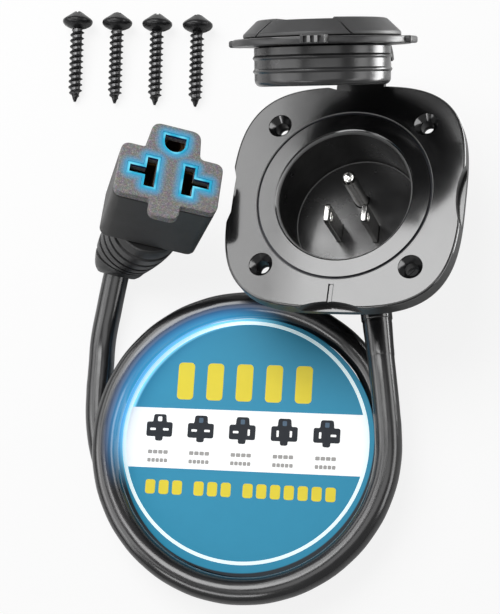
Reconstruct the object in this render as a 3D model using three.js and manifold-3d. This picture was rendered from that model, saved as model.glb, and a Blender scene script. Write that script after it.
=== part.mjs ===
// Dogbone power adapter: a flush-mount power inlet with a hinged weather cap, a coiled
// cord, and a female connector for five plug patterns. Millimetres, +Z up, on the floor
// at z = 0. The origin is the centre of the foot under the inlet's rear cover.
import * as THREE from "three";
import { mergeVertices } from "three/addons/utils/BufferGeometryUtils.js";
import Module from "manifold-3d";

const wasm = await Module();
wasm.setup();

// General clearances
const FIT_GAP = 0.3;
const OVERRUN = 1;

// Pose of the inlet as it lies on its slanted foot
const INLET_LEAN_DEG = 10.84;
const INLET_LEAN_TOWARDS_DEG = 124.5;
const INLET_ROLL_DEG = -5.77;

// Inlet flange
const FLANGE_HALF = 39.6;
const FLANGE_ROUNDNESS = 3.3;
const FLANGE_THICKNESS = 6.3;
const FLANGE_BASE_THICKNESS = 2.6;
const FLANGE_EDGE_CHAMFER = 0.9;
const SCALLOP_CHORD = 21.5;
const SCALLOP_DEPTH = 2.2;
const SCREW_HOLE_RADIUS = 2.2;
const COUNTERSINK_RADIUS = 4.0;
const COUNTERSINK_DEPTH = 2.4;

// Recess and barrel behind the flange, and the grooves round the recess
const RECESS_RADIUS = 22.25;
const RECESS_BEVEL = 1.25;
const RECESS_DEPTH = 22.5;
const CARRIER_BOSS = 2.1;
const BARREL_WALL = 2.2;
const BARREL_RADIUS = RECESS_RADIUS + BARREL_WALL;
const BARREL_DEPTH = RECESS_DEPTH + CARRIER_BOSS;
const FLANGE_CORNER = FLANGE_HALF * 2 ** (1 / 2 - 1 / FLANGE_ROUNDNESS);
const SCREW_HOLE_OUTWARD = 0.51;
const SCREW_HOLE_FROM_CENTRE = (BARREL_RADIUS + FLANGE_CORNER) / 2 + SCREW_HOLE_OUTWARD;
const RING_GROOVE_OUTSET = 7.25;
const RING_GROOVE_RADIUS = RECESS_RADIUS + RING_GROOVE_OUTSET;
const RING_GROOVE_WIDTH = 0.9;
const RING_GROOVE_DEPTH = 0.8;
const WITNESS_GROOVE_WIDTH = 2.0;
const WITNESS_GROOVE_DEPTH = 0.8;
const WITNESS_GROOVE_OUTSET = 2.0;
const WITNESS_GROOVE_START = RING_GROOVE_RADIUS + WITNESS_GROOVE_OUTSET;

// Contact carrier with its two flat blades and round pin
const CARRIER_PLATE = 4.0;
const CARRIER_DEPTH = BARREL_DEPTH + FIT_GAP + CARRIER_PLATE;
const BLADE_SPACING = 12.7;
const BLADE_WIDTH = 6.35;
const BLADE_THICKNESS = 1.6;
const BLADE_LENGTH = 18.2;
const BLADE_LINE_OFFSET = -4.5;
const BLADE_TAIL_BITE = 3.1;
const BLADE_TAIL = CARRIER_DEPTH - RECESS_DEPTH + BLADE_TAIL_BITE;
const BLADE_TIP_BEVEL = 1.0;
const BLADE_HOLE_RADIUS = 1.5;
const BLADE_HOLE_FROM_TIP = 4.0;
const GROUND_PIN_RADIUS = 2.4;
const GROUND_PIN_LENGTH = 20.9;
const GROUND_PIN_RISE = 11.9;
const TERMINAL_WIDTH = 6.2;
const TERMINAL_HEIGHT = 5.6;
const TERMINAL_DEPTH = 5.0;
const TERMINAL_SCREW_RADIUS = 1.4;
const TERMINAL_SCREW_HEAD = 1.2;
const WIRE_RADIUS = 1.4;

// Rear cover, its screws, and the foot
const COVER_WALL = 2.3;
const COVER_SHOULDER_INSET = 1.45;
const COVER_SHOULDER_RADIUS = BARREL_RADIUS - COVER_SHOULDER_INSET;
const COVER_SHOULDER_DROP = 9.1;
const COVER_SHOULDER_DEPTH = CARRIER_DEPTH + COVER_SHOULDER_DROP;
const COVER_LOW_INSET = 3.5;
const COVER_LOW_RADIUS = COVER_SHOULDER_RADIUS - COVER_LOW_INSET;
const COVER_LOW_DROP = 4.5;
const COVER_LOW_DEPTH = COVER_SHOULDER_DEPTH + COVER_LOW_DROP;
const FOOT_INSET = 3.0;
const FOOT_RADIUS = COVER_LOW_RADIUS - FOOT_INSET;
const FOOT_DROP = 4.54;
const COVER_SCREW_INSET = 3.3;
const COVER_SCREW_X = FOOT_RADIUS - COVER_SCREW_INSET;
const COVER_SCREW_Y = 2.0;
const COVER_SCREW_RADIUS = 1.3;
const COVER_SCREW_HEAD_RADIUS = 2.3;
const COVER_SCREW_HEAD = 1.8;
const COVER_SCREW_SINK = 4.6;
const COVER_SCREW_BITE = 3.0;
const COVER_POST_RADIUS = 2.8;

// Cord outlet of the inlet
const PORT_HEIGHT = 12.6;
const PORT_RISE_DEG = 2.4;
const PORT_YAW_DEG = 5.27;
const CORD_DIAMETER = 9.2;
const OUTLET_NECK_RADIUS = 4.9;
const OUTLET_FLANGE_RADIUS = 5.8;
const OUTLET_FLANGE = 1.8;
const OUTLET_COLLAR_RADIUS = 7.5;
const OUTLET_COLLAR_OUTSET = 1.3;
const OUTLET_COLLAR_REACH = COVER_SHOULDER_RADIUS + OUTLET_COLLAR_OUTSET;
const OUTLET_COLLAR_LENGTH = 7.5;
const OUTLET_ROOT_RADIUS = 5.5;
const OUTLET_LENGTH = 19.4;
const OUTLET_RIB_COUNT = 5;
const OUTLET_RIB_DEPTH = 0.35;
const SHEATH_CLEAR = 3.3;
const CLAMP_WIDTH = 12.0;
const CLAMP_BELOW = 6.2;
const CLAMP_ABOVE = 2.0;
const CLAMP_DEPTH = 3.0;

// Gasket behind the flange
const GASKET_THICKNESS = 1.5;
const GASKET_INSET = 1.6;

// Weather cap, drawn closed, on a hinge at the flange's top edge
const HINGE_REACH = 10.4;
const HINGE_FROM_CENTRE = FLANGE_HALF + HINGE_REACH;
const HINGE_BELOW_FACE = 6.0;
const CAP_OPEN_DEG = 62;
const HINGE_PIN_RADIUS = 1.0;
const HINGE_LUG_RADIUS = 2.1;
const HINGE_LUG_WIDTH = 2.4;
const KNUCKLE_WIDTH = 10.0;
const HINGE_TAB_GAP = 1.3;
const BEND_END_DEG = 15;
const BEND_WEB_FROM_DEG = 20;
const BEND_WEB_TO_DEG = 75;
const STRAP_WIDTH = 16.4;
const STRAP_THICKNESS = 2.2;
const CAP_RIM_OUTSET = 5.75;
const CAP_RIM_RADIUS = RECESS_RADIUS + CAP_RIM_OUTSET;
const CAP_EAR_OUTSET = 1.4;
const CAP_EAR_REACH = CAP_RIM_RADIUS + CAP_EAR_OUTSET;
const CAP_EAR_WIDTH = 9.0;
const CAP_BASE_RADIUS = 24.5;
const CAP_TOP_RADIUS = 20.0;
const CAP_HEIGHT = 5.5;
const CAP_BASE_STEP = 1.2;
const CAP_CHANNEL_WIDTH = 18.0;
const CAP_CHANNEL_DEPTH = 0.5;
const PLUG_PLAY = 1.05;
const PLUG_RADIUS = RECESS_RADIUS - PLUG_PLAY;
const PLUG_RIB_RISE = 0.5;
const PLUG_RIB_RADIUS = PLUG_RADIUS + PLUG_RIB_RISE;
const PLUG_RIB_HEIGHT = 1.2;
const PLUG_RIB_SHARES = [0.27, 0.61];
const PLUG_DEPTH = 12.0;
const PLUG_WALL = 2.2;
const PLUG_FLOOR = 1.2;
const PLUG_EDGE_ROUND = 2.0;
const SPIGOT_RADIUS = 8.0;
const LATCH_WIDTH = 7.5;
const LATCH_SHIFT = 6.0;
const LATCH_REACH = 2.6;
const LATCH_HEIGHT = 2.6;

// Female connector: outline of its face, about the line of its two slots
const CONNECTOR_HEIGHT = 59.0;
const CONNECTOR_X = -60.25;
const CONNECTOR_Y = 12.86;
const CONNECTOR_LEAN_DEG = 29.65;
const CONNECTOR_LEAN_TOWARDS_DEG = 27.25;
const CONNECTOR_ROLL_DEG = -7.47;
const FACE_HALF_WIDTH = 17.3;
const FACE_LOBE_TOP = 9.2;
const FACE_BOTTOM = -9.9;
const FACE_TOP_LOBE_HALF = 9.1;
const FACE_TOP = 19.3;
const FACE_TAB_HALF = 5.1;
const FACE_TAB_BOTTOM = -15.4;
const FACE_CORNER = 3.2;
const FACE_TOP_TAPER = 0.9;
const FACE_PLATE = 3.2;
const CONNECTOR_LENGTH = 32.0;
const CONNECTOR_TAPER = 0.97;
const CONNECTOR_WALL = 1.6;
const CONNECTOR_REAR_WALL = 3.0;
const SLOT_WIDTH = 3.4;
const SLOT_HALF_HEIGHT = 4.7;
const SLOT_ARM_END = 13.4;
const SLOT_ARM_HALF = 1.4;
const GROUND_SLOT_HALF = 3.6;
const GROUND_SLOT_TOP = 15.6;
const GROUND_SLOT_BOTTOM = 9.6;
const SLOT_RIM_WIDTH = 0.9;
const SLOT_RIM_DEPTH = 1.2;
const CONTACT_WALL = 1.0;
const CONTACT_PLAY = 0.2;
const CONTACT_DEPTH = 12.0;

// Ribbed strain relief of the connector, bent towards the floor
const RELIEF_ROOT_RADIUS = 11.6;
const RELIEF_BELLY_RADIUS = 12.3;
const RELIEF_END_RADIUS = 7.4;
const RELIEF_RIB_DEPTH = 0.9;
const RELIEF_RIB_COUNT = 5;
const RELIEF_NECK_RADIUS = 6.0;
const RELIEF_START_PULL = 11;
const RELIEF_END_PULL = 12;
const RELIEF_BELLY_SHARE = 0.2;
const RELIEF_FIRST_RIB_SHARE = 0.12;
const RELIEF_LAST_RIB_SHARE = 0.92;
const RELIEF_GROOVE_SHARE = 0.3;
const RELIEF_TAPER_POWER = 1.7;
const RELIEF_END_X = -92.7;
const RELIEF_END_Y = -7.6;
const RELIEF_END_HEIGHT = 8.6;
const RELIEF_END_DIRECTION = [-0.26, -0.95, -0.17];

// Coil of the cord, lying on the floor, and the disc inside it
const COIL_X = -44.5;
const COIL_Y = -70.1;
const COIL_LOW_RADIUS = 46.2;
const COIL_HIGH_RADIUS = 49.3;
const COIL_LOW_HEIGHT = 4.7;
const COIL_LAYER = 9.7;
const COIL_START_SPREAD = 13.0;
const COIL_START_DEG = 158;
const COIL_SPREAD_SPAN_DEG = 81;
const COIL_WIDEN_FROM_DEG = 360;
const COIL_WIDEN_TO_DEG = 396;
const COIL_CLIMB_FROM_DEG = 380;
const COIL_CLIMB_TO_DEG = 512;
const COIL_END_DEG = 725;
const COIL_STEPS_PER_TURN = 24;
const COIL_SIDES = 6;
const LEAD_SIDES = 12;
const LABEL_RADIUS = 44.3;
const LABEL_THICKNESS = 1.0;
const LABEL_BOTTOM = 8.8;

// Route of the free cord from the connector to the coil
const CONNECTOR_LEAD_POINTS = [
  [-95.7, -19.4, 6.6],
  [-98.2, -30.5, 4.9],
];

// Four loose mounting screws beside the adapter
const SCREW_HEAD_RADIUS = 4.85;
const SCREW_HEAD_DOME = 3.4;
const SCREW_HEAD_NOSE_RADIUS = 0.9;
const SCREW_HEAD_CONE = 2.9;
const SCREW_HEAD_RIM = 0.4;
const SCREW_CREST_RADIUS = 2.4;
const SCREW_CORE_RADIUS = 1.55;
const SCREW_THREAD_LENGTH = 22.5;
const SCREW_TIP_LENGTH = 4.0;
const SCREW_TIP_RADIUS = 0.35;
const SCREW_PITCH = 2.06;
const SCREW_RECESS_HALF = 2.1;
const SCREW_RECESS_WIDTH = 0.9;
const SCREW_RECESS_DEPTH = 1.6;
const SCREW_COUNT = 4;
const SCREW_FIRST_X = -111.9;
const SCREW_FIRST_Y = 62.3;
const SCREW_STEP_X = 15.4;
const SCREW_STEP_Y = -1.7;
const SCREW_HEADING_DEG = 86.85;

const deg = (angle) => (angle * Math.PI) / 180;
const v3 = (x, y, z) => new THREE.Vector3(x, y, z);

// Finishes

const finish = (color, roughness, metalness) =>
  new THREE.MeshStandardMaterial({ color, roughness, metalness });
const glossBlack = () => finish(0x101012, 0.18, 0);
const matteBlack = () => finish(0x18181a, 0.55, 0);
const rubberBlack = () => finish(0x1b1b1d, 0.5, 0);
const darkGrey = () => finish(0x333336, 0.6, 0);
const speckleGrey = () => finish(0x6b6868, 0.85, 0);
const nickel = () => finish(0xc9c8c4, 0.25, 1);
const brass = () => finish(0xb8924a, 0.3, 1);
const cyan = () => finish(0x2aa9dc, 0.4, 0);
const teal = () => finish(0x2a8fb5, 0.5, 0);

// Solids and booleans

// Turns a closed geometry into a solid with its faces pointing out.
function solidOf(geometry) {
  const plain = new THREE.BufferGeometry();
  plain.setAttribute("position", geometry.getAttribute("position").clone());
  if (geometry.index) plain.setIndex(geometry.index.clone());
  const merged = mergeVertices(plain, 1e-4);
  const triangles = [];
  const index = merged.index.array;
  for (let i = 0; i < index.length; i += 3) {
    const [a, b, c] = [index[i], index[i + 1], index[i + 2]];
    if (a !== b && b !== c && c !== a) triangles.push(a, b, c);
  }
  const build = (triVerts) =>
    new wasm.Manifold(
      new wasm.Mesh({
        numProp: 3,
        vertProperties: new Float32Array(merged.attributes.position.array),
        triVerts: new Uint32Array(triVerts),
      }),
    );
  const solid = build(triangles);
  if (solid.volume() > 0) return solid;
  for (let i = 0; i < triangles.length; i += 3)
    [triangles[i + 1], triangles[i + 2]] = [triangles[i + 2], triangles[i + 1]];
  return build(triangles);
}

const join = (...solids) => solids.reduce((all, one) => all.add(one));
const cut = (solid, ...tools) => tools.reduce((rest, tool) => rest.subtract(tool), solid);

function geometryOf(solid) {
  const mesh = solid.getMesh();
  const positions = new Float32Array(mesh.numVert * 3);
  for (let i = 0; i < mesh.numVert; i++)
    positions.set(mesh.vertProperties.subarray(i * mesh.numProp, i * mesh.numProp + 3), i * 3);
  const geometry = new THREE.BufferGeometry();
  geometry.setAttribute("position", new THREE.BufferAttribute(positions, 3));
  geometry.setIndex(new THREE.BufferAttribute(mesh.triVerts, 1));
  geometry.computeVertexNormals();
  return geometry;
}

function piece(group, name, solid, material) {
  const mesh = new THREE.Mesh(geometryOf(solid), material);
  mesh.name = name;
  group.add(mesh);
  return mesh;
}

// Simple shapes, all with their length along Z

function cylinder(radius, from, to, sides = 24, x = 0, y = 0) {
  const geometry = new THREE.CylinderGeometry(radius, radius, to - from, sides);
  geometry.rotateX(Math.PI / 2).translate(x, y, (from + to) / 2);
  return solidOf(geometry);
}

function cone(radiusFrom, radiusTo, from, to, sides = 24, x = 0, y = 0) {
  const geometry = new THREE.CylinderGeometry(radiusTo, radiusFrom, to - from, sides);
  geometry.rotateX(Math.PI / 2).translate(x, y, (from + to) / 2);
  return solidOf(geometry);
}

function block(x0, x1, y0, y1, z0, z1) {
  const geometry = new THREE.BoxGeometry(x1 - x0, y1 - y0, z1 - z0);
  geometry.translate((x0 + x1) / 2, (y0 + y1) / 2, (z0 + z1) / 2);
  return solidOf(geometry);
}

function plate(points, from, to) {
  const shape = new THREE.Shape(points);
  const geometry = new THREE.ExtrudeGeometry(shape, { depth: to - from, bevelEnabled: false });
  geometry.translate(0, 0, from);
  return solidOf(geometry);
}

// A turned solid: the profile lists [radius, height] from axis to axis, or round a ring.
function turned(profile, sides = 32) {
  const points = profile.map(([radius, height]) => new THREE.Vector2(radius, height));
  const geometry = new THREE.LatheGeometry(points, sides);
  geometry.rotateX(Math.PI / 2);
  return solidOf(geometry);
}

// A closed skin through rings of points, with a fan over each end.
function loft(rings) {
  const count = rings[0].length;
  const positions = [];
  const index = [];
  rings.forEach((ring) => ring.forEach((p) => positions.push(p.x, p.y, p.z)));
  for (let r = 0; r + 1 < rings.length; r++)
    for (let i = 0; i < count; i++) {
      const j = (i + 1) % count;
      const [a, b] = [r * count + i, r * count + j];
      index.push(a, b, b + count, a, b + count, a + count);
    }
  [rings[0], rings[rings.length - 1]].forEach((ring, end) => {
    const centre = ring.reduce((sum, p) => sum.add(p), v3(0, 0, 0)).divideScalar(count);
    const middle = positions.length / 3;
    const base = end === 0 ? 0 : (rings.length - 1) * count;
    positions.push(centre.x, centre.y, centre.z);
    for (let i = 0; i < count; i++) {
      const j = (i + 1) % count;
      if (end === 0) index.push(middle, base + j, base + i);
      else index.push(middle, base + i, base + j);
    }
  });
  const geometry = new THREE.BufferGeometry();
  geometry.setAttribute("position", new THREE.Float32BufferAttribute(positions, 3));
  geometry.setIndex(index);
  return solidOf(geometry);
}

function tubeAlong(points, radius, steps, sides) {
  const circle = new THREE.Shape();
  for (let i = 0; i < sides; i++) {
    const angle = (i / sides) * 2 * Math.PI;
    const [x, y] = [radius * Math.cos(angle), radius * Math.sin(angle)];
    if (i === 0) circle.moveTo(x, y);
    else circle.lineTo(x, y);
  }
  const path = new THREE.CatmullRomCurve3(points, false, "centripetal");
  return solidOf(
    new THREE.ExtrudeGeometry(circle, { steps, extrudePath: path, bevelEnabled: false }),
  );
}

function ringPoints(radius, height, count) {
  return Array.from({ length: count }, (_, i) => {
    const angle = (i / count) * 2 * Math.PI;
    return v3(radius * Math.cos(angle), radius * Math.sin(angle), height);
  });
}

// Turns +Z towards a compass direction by a lean, after a roll about +Z.
function leaned(leanDeg, towardsDeg, rollDeg) {
  const axis = v3(-Math.sin(deg(towardsDeg)), Math.cos(deg(towardsDeg)), 0);
  const lean = new THREE.Quaternion().setFromAxisAngle(axis, deg(leanDeg));
  const roll = new THREE.Quaternion().setFromAxisAngle(v3(0, 0, 1), deg(rollDeg));
  return lean.multiply(roll);
}

const adapter = new THREE.Group();

// Inlet frame: X to its right, Y towards its hinge, Z out of its face, at the face centre

const inlet = new THREE.Group();
inlet.quaternion.copy(leaned(INLET_LEAN_DEG, INLET_LEAN_TOWARDS_DEG, INLET_ROLL_DEG));
const inletAxis = v3(0, 0, 1).applyQuaternion(inlet.quaternion);
inlet.position.copy(inletAxis).multiplyScalar(COVER_LOW_DEPTH + FOOT_DROP);
adapter.add(inlet);
const worldToInlet = inlet.quaternion.clone().invert();
const floorUp = v3(0, 0, 1).applyQuaternion(worldToInlet);

function inInlet(point) {
  return point.clone().sub(inlet.position).applyQuaternion(worldToInlet);
}

// The depth at which a line parallel to the inlet's axis meets a level above the floor.
function depthAtLevel(x, y, level) {
  return (level - inlet.position.z - x * floorUp.x - y * floorUp.y) / floorUp.z;
}

const holeOffset = SCREW_HOLE_FROM_CENTRE * Math.SQRT1_2;
const holePlaces = [
  [-holeOffset, holeOffset],
  [holeOffset, holeOffset],
  [-holeOffset, -holeOffset],
  [holeOffset, -holeOffset],
];

// A square with bulging sides and wide round corners.
function flangeOutline(half, count = 72) {
  return Array.from({ length: count }, (_, i) => {
    const angle = (i / count) * 2 * Math.PI;
    const [c, s] = [Math.cos(angle), Math.sin(angle)];
    const spread = Math.abs(c) ** FLANGE_ROUNDNESS + Math.abs(s) ** FLANGE_ROUNDNESS;
    const radius = half / spread ** (1 / FLANGE_ROUNDNESS);
    return v3(radius * c, radius * s, 0);
  });
}

function flangeHousing() {
  const at = (half, z) => flangeOutline(half).map((p) => v3(p.x, p.y, z));
  const baseTop = -FLANGE_THICKNESS + FLANGE_BASE_THICKNESS;
  const base = loft([at(FLANGE_HALF, -FLANGE_THICKNESS), at(FLANGE_HALF, baseTop)]);
  let top = loft([
    at(FLANGE_HALF, baseTop - OVERRUN),
    at(FLANGE_HALF, -FLANGE_EDGE_CHAMFER),
    at(FLANGE_HALF - FLANGE_EDGE_CHAMFER, 0),
  ]);
  const scallopRadius =
    (SCALLOP_CHORD ** 2 / 4 + SCALLOP_DEPTH ** 2) / (2 * SCALLOP_DEPTH);
  const scallopCentre = FLANGE_HALF - SCALLOP_DEPTH + scallopRadius;
  for (const [x, y] of [[1, 0], [-1, 0], [0, 1], [0, -1]]) {
    const [cx, cy] = [x * scallopCentre, y * scallopCentre];
    top = cut(top, cylinder(scallopRadius, baseTop, OVERRUN, 72, cx, cy));
  }
  const lugs = [-1, 1].map((side) => {
    const inner = KNUCKLE_WIDTH / 2 + FIT_GAP;
    const [x0, x1] = [side * inner, side * (inner + HINGE_LUG_WIDTH)].sort((a, b) => a - b);
    const eye = new THREE.CylinderGeometry(HINGE_LUG_RADIUS, HINGE_LUG_RADIUS, x1 - x0, 20);
    eye.rotateZ(Math.PI / 2);
    eye.translate((x0 + x1) / 2, HINGE_FROM_CENTRE, -HINGE_BELOW_FACE);
    const lugTop = -HINGE_BELOW_FACE + HINGE_LUG_RADIUS;
    const root = FLANGE_HALF - SCALLOP_DEPTH - OVERRUN;
    const web = block(x0, x1, root, HINGE_FROM_CENTRE, -FLANGE_THICKNESS, lugTop);
    return join(web, solidOf(eye));
  });
  const tabEnd = HINGE_FROM_CENTRE - HINGE_LUG_RADIUS - HINGE_TAB_GAP;
  const tab = block(
    -STRAP_WIDTH / 2,
    STRAP_WIDTH / 2,
    FLANGE_HALF - SCALLOP_DEPTH - OVERRUN,
    tabEnd,
    -FLANGE_THICKNESS,
    -HINGE_BELOW_FACE + HINGE_LUG_RADIUS,
  );
  const barrel = cylinder(BARREL_RADIUS, -BARREL_DEPTH, -FLANGE_THICKNESS + OVERRUN, 48);
  let body = join(base, top, tab, barrel, ...lugs);
  const bore = turned(
    [
      [0, -BARREL_DEPTH - OVERRUN],
      [RECESS_RADIUS, -BARREL_DEPTH - OVERRUN],
      [RECESS_RADIUS, -RECESS_BEVEL],
      [RECESS_RADIUS + RECESS_BEVEL + OVERRUN, OVERRUN],
      [0, OVERRUN],
    ],
    48,
  );
  const groove = turned(
    [
      [RING_GROOVE_RADIUS - RING_GROOVE_WIDTH / 2, OVERRUN],
      [RING_GROOVE_RADIUS - RING_GROOVE_WIDTH / 2, -RING_GROOVE_DEPTH],
      [RING_GROOVE_RADIUS + RING_GROOVE_WIDTH / 2, -RING_GROOVE_DEPTH],
      [RING_GROOVE_RADIUS + RING_GROOVE_WIDTH / 2, OVERRUN],
      [RING_GROOVE_RADIUS - RING_GROOVE_WIDTH / 2, OVERRUN],
    ],
    48,
  );
  const witness = block(
    -WITNESS_GROOVE_WIDTH / 2,
    WITNESS_GROOVE_WIDTH / 2,
    -FLANGE_HALF - OVERRUN,
    -WITNESS_GROOVE_START,
    -WITNESS_GROOVE_DEPTH,
    OVERRUN,
  );
  body = cut(body, bore, groove, witness, pinBore());
  for (const [x, y] of holePlaces) {
    const sinkRadius = COUNTERSINK_RADIUS + OVERRUN;
    body = cut(
      body,
      cylinder(SCREW_HOLE_RADIUS, -FLANGE_THICKNESS - OVERRUN, OVERRUN, 20, x, y),
      cone(SCREW_HOLE_RADIUS, sinkRadius, -COUNTERSINK_DEPTH, OVERRUN, 20, x, y),
    );
  }
  return body;
}

// The clearance bore round the hinge pin, through the lugs.
function pinBore() {
  const length = KNUCKLE_WIDTH + 2 * (HINGE_LUG_WIDTH + FIT_GAP) + 2 * OVERRUN;
  const radius = HINGE_PIN_RADIUS + FIT_GAP;
  const geometry = new THREE.CylinderGeometry(radius, radius, length, 16);
  geometry.rotateZ(Math.PI / 2);
  geometry.translate(0, HINGE_FROM_CENTRE, -HINGE_BELOW_FACE);
  return solidOf(geometry);
}

function hingePin() {
  const half = KNUCKLE_WIDTH / 2 + FIT_GAP + HINGE_LUG_WIDTH;
  const pin = new THREE.CylinderGeometry(HINGE_PIN_RADIUS, HINGE_PIN_RADIUS, 2 * half, 16);
  const headRadius = HINGE_PIN_RADIUS + 2 * FIT_GAP;
  const headLength = HINGE_PIN_RADIUS;
  const heads = [-1, 1].map((side) => {
    const head = new THREE.CylinderGeometry(headRadius, headRadius, headLength, 16);
    head.translate(0, side * (half + FIT_GAP + headLength / 2), 0);
    return head;
  });
  const stem = new THREE.CylinderGeometry(
    HINGE_PIN_RADIUS,
    HINGE_PIN_RADIUS,
    2 * (half + FIT_GAP + headLength / 2),
    16,
  );
  const all = [pin, stem, ...heads].map((geometry) => {
    geometry.rotateZ(Math.PI / 2);
    geometry.translate(0, HINGE_FROM_CENTRE, -HINGE_BELOW_FACE);
    return solidOf(geometry);
  });
  return join(...all);
}

function flangeGasket() {
  const back = -FLANGE_THICKNESS - FIT_GAP - GASKET_THICKNESS;
  const front = -FLANGE_THICKNESS - FIT_GAP;
  const at = (z) => flangeOutline(FLANGE_HALF - GASKET_INSET).map((p) => v3(p.x, p.y, z));
  let gasket = cut(
    loft([at(back), at(front)]),
    cylinder(BARREL_RADIUS + FIT_GAP, back - OVERRUN, front + OVERRUN, 48),
  );
  for (const [x, y] of holePlaces)
    gasket = cut(gasket, cylinder(SCREW_HOLE_RADIUS, back - OVERRUN, front + OVERRUN, 16, x, y));
  return gasket;
}

const carrierFront = -RECESS_DEPTH;
const carrierSeat = -BARREL_DEPTH - FIT_GAP;
const carrierBack = carrierSeat - CARRIER_PLATE;
const groundY = BLADE_LINE_OFFSET + GROUND_PIN_RISE;
const coverScrewPlaces = [
  [-COVER_SCREW_X, COVER_SCREW_Y],
  [COVER_SCREW_X, COVER_SCREW_Y],
];

function bladeSlot(side) {
  const x = (side * BLADE_SPACING) / 2;
  const halfThick = BLADE_THICKNESS / 2 + FIT_GAP;
  const halfWide = BLADE_WIDTH / 2 + FIT_GAP;
  return block(
    x - halfThick,
    x + halfThick,
    BLADE_LINE_OFFSET - halfWide,
    BLADE_LINE_OFFSET + halfWide,
    carrierBack - OVERRUN,
    carrierFront + OVERRUN,
  );
}

function contactCarrier() {
  const boss = cylinder(RECESS_RADIUS - FIT_GAP, carrierSeat - OVERRUN, carrierFront, 48);
  const base = cylinder(BARREL_RADIUS, carrierBack, carrierSeat, 48);
  const pinHole = cylinder(
    GROUND_PIN_RADIUS + FIT_GAP,
    carrierBack - OVERRUN,
    carrierFront + OVERRUN,
    20,
    0,
    groundY,
  );
  const pilots = coverScrewPlaces.map(([x, y]) =>
    cylinder(
      COVER_SCREW_RADIUS + FIT_GAP,
      carrierBack - OVERRUN,
      carrierBack + COVER_SCREW_BITE + FIT_GAP,
      12,
      x,
      y,
    ),
  );
  return cut(join(boss, base), bladeSlot(-1), bladeSlot(1), pinHole, ...pilots);
}

// A flat blade with a bevelled tip and a cross hole, on one side of the centre line.
function blade(side) {
  const x = (side * BLADE_SPACING) / 2;
  const tip = carrierFront + BLADE_LENGTH;
  const tail = carrierFront - BLADE_TAIL;
  const [half, bevel] = [BLADE_WIDTH / 2, BLADE_TIP_BEVEL];
  const outline = [
    [-half, tail],
    [half, tail],
    [half, tip - bevel],
    [half - bevel, tip],
    [-half + bevel, tip],
    [-half, tip - bevel],
  ].map(([a, b]) => new THREE.Vector2(a, b));
  const flat = new THREE.ExtrudeGeometry(new THREE.Shape(outline), {
    depth: BLADE_THICKNESS,
    bevelEnabled: false,
  });
  flat.rotateX(Math.PI / 2).rotateZ(Math.PI / 2);
  flat.translate(x - BLADE_THICKNESS / 2, BLADE_LINE_OFFSET, 0);
  const hole = new THREE.CylinderGeometry(
    BLADE_HOLE_RADIUS,
    BLADE_HOLE_RADIUS,
    BLADE_THICKNESS + 2 * OVERRUN,
    16,
  );
  hole.rotateZ(Math.PI / 2);
  hole.translate(x, BLADE_LINE_OFFSET, tip - BLADE_HOLE_FROM_TIP);
  return cut(solidOf(flat), solidOf(hole));
}

function groundPin() {
  const tip = carrierFront + GROUND_PIN_LENGTH;
  const round = GROUND_PIN_RADIUS;
  const profile = [[0, carrierFront - BLADE_TAIL]];
  profile.push([round, carrierFront - BLADE_TAIL]);
  for (let i = 0; i <= 5; i++) {
    const angle = (i / 5) * (Math.PI / 2);
    profile.push([round * Math.cos(angle), tip - round + round * Math.sin(angle)]);
  }
  const pin = turned(profile, 20);
  return pin.translate([0, groundY, 0]);
}

// A brass block that clamps a blade's tail and one wire with a screw on its back.
function terminal(x, y, tailHalfX, tailHalfY) {
  const front = carrierBack - FIT_GAP;
  const back = front - TERMINAL_DEPTH;
  const [halfW, halfH] = [TERMINAL_WIDTH / 2, TERMINAL_HEIGHT / 2];
  const body = block(x - halfW, x + halfW, y - halfH, y + halfH, back, front);
  const socket = block(
    x - tailHalfX - FIT_GAP,
    x + tailHalfX + FIT_GAP,
    y - tailHalfY - FIT_GAP,
    y + tailHalfY + FIT_GAP,
    carrierFront - BLADE_TAIL - FIT_GAP,
    front + OVERRUN,
  );
  const outward = x < 0 ? -1 : 1;
  const headX = x + (outward * halfW) / 2;
  const head = cylinder(
    TERMINAL_SCREW_RADIUS,
    back - TERMINAL_SCREW_HEAD,
    back + OVERRUN,
    12,
    headX,
    y,
  );
  return join(cut(body, socket), head);
}

// The cord outlet's frame: its axis leaves the inlet's axis close to level.

const outletDirection = v3(
  Math.cos(deg(PORT_RISE_DEG)) * Math.sin(deg(PORT_YAW_DEG)),
  -Math.cos(deg(PORT_RISE_DEG)) * Math.cos(deg(PORT_YAW_DEG)),
  Math.sin(deg(PORT_RISE_DEG)),
);
const outletOrigin = inletAxis.clone().multiplyScalar(PORT_HEIGHT / inletAxis.z);
const outletTurn = new THREE.Quaternion().setFromUnitVectors(
  v3(0, 0, 1),
  outletDirection.clone().applyQuaternion(worldToInlet),
);
const outletPlace = new THREE.Matrix4().compose(
  inInlet(outletOrigin),
  outletTurn,
  v3(1, 1, 1),
);
const outletStart = OUTLET_COLLAR_REACH - COVER_WALL - FIT_GAP - OUTLET_FLANGE;
const outletEnd = OUTLET_COLLAR_REACH + OUTLET_LENGTH;

function atOutlet(solid) {
  const geometry = geometryOf(solid).applyMatrix4(outletPlace);
  return solidOf(geometry);
}

function coverRings(inset, top, footLift) {
  const count = 48;
  const foot = ringPoints(FOOT_RADIUS - inset, 0, count).map((p) =>
    v3(p.x, p.y, depthAtLevel(p.x, p.y, footLift)),
  );
  return [
    foot,
    ringPoints(COVER_LOW_RADIUS - inset, -COVER_LOW_DEPTH + inset, count),
    ringPoints(COVER_SHOULDER_RADIUS - inset, -COVER_SHOULDER_DEPTH, count),
    ringPoints(BARREL_RADIUS - inset, top, count),
  ];
}

const coverTop = carrierBack - FIT_GAP;

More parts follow.
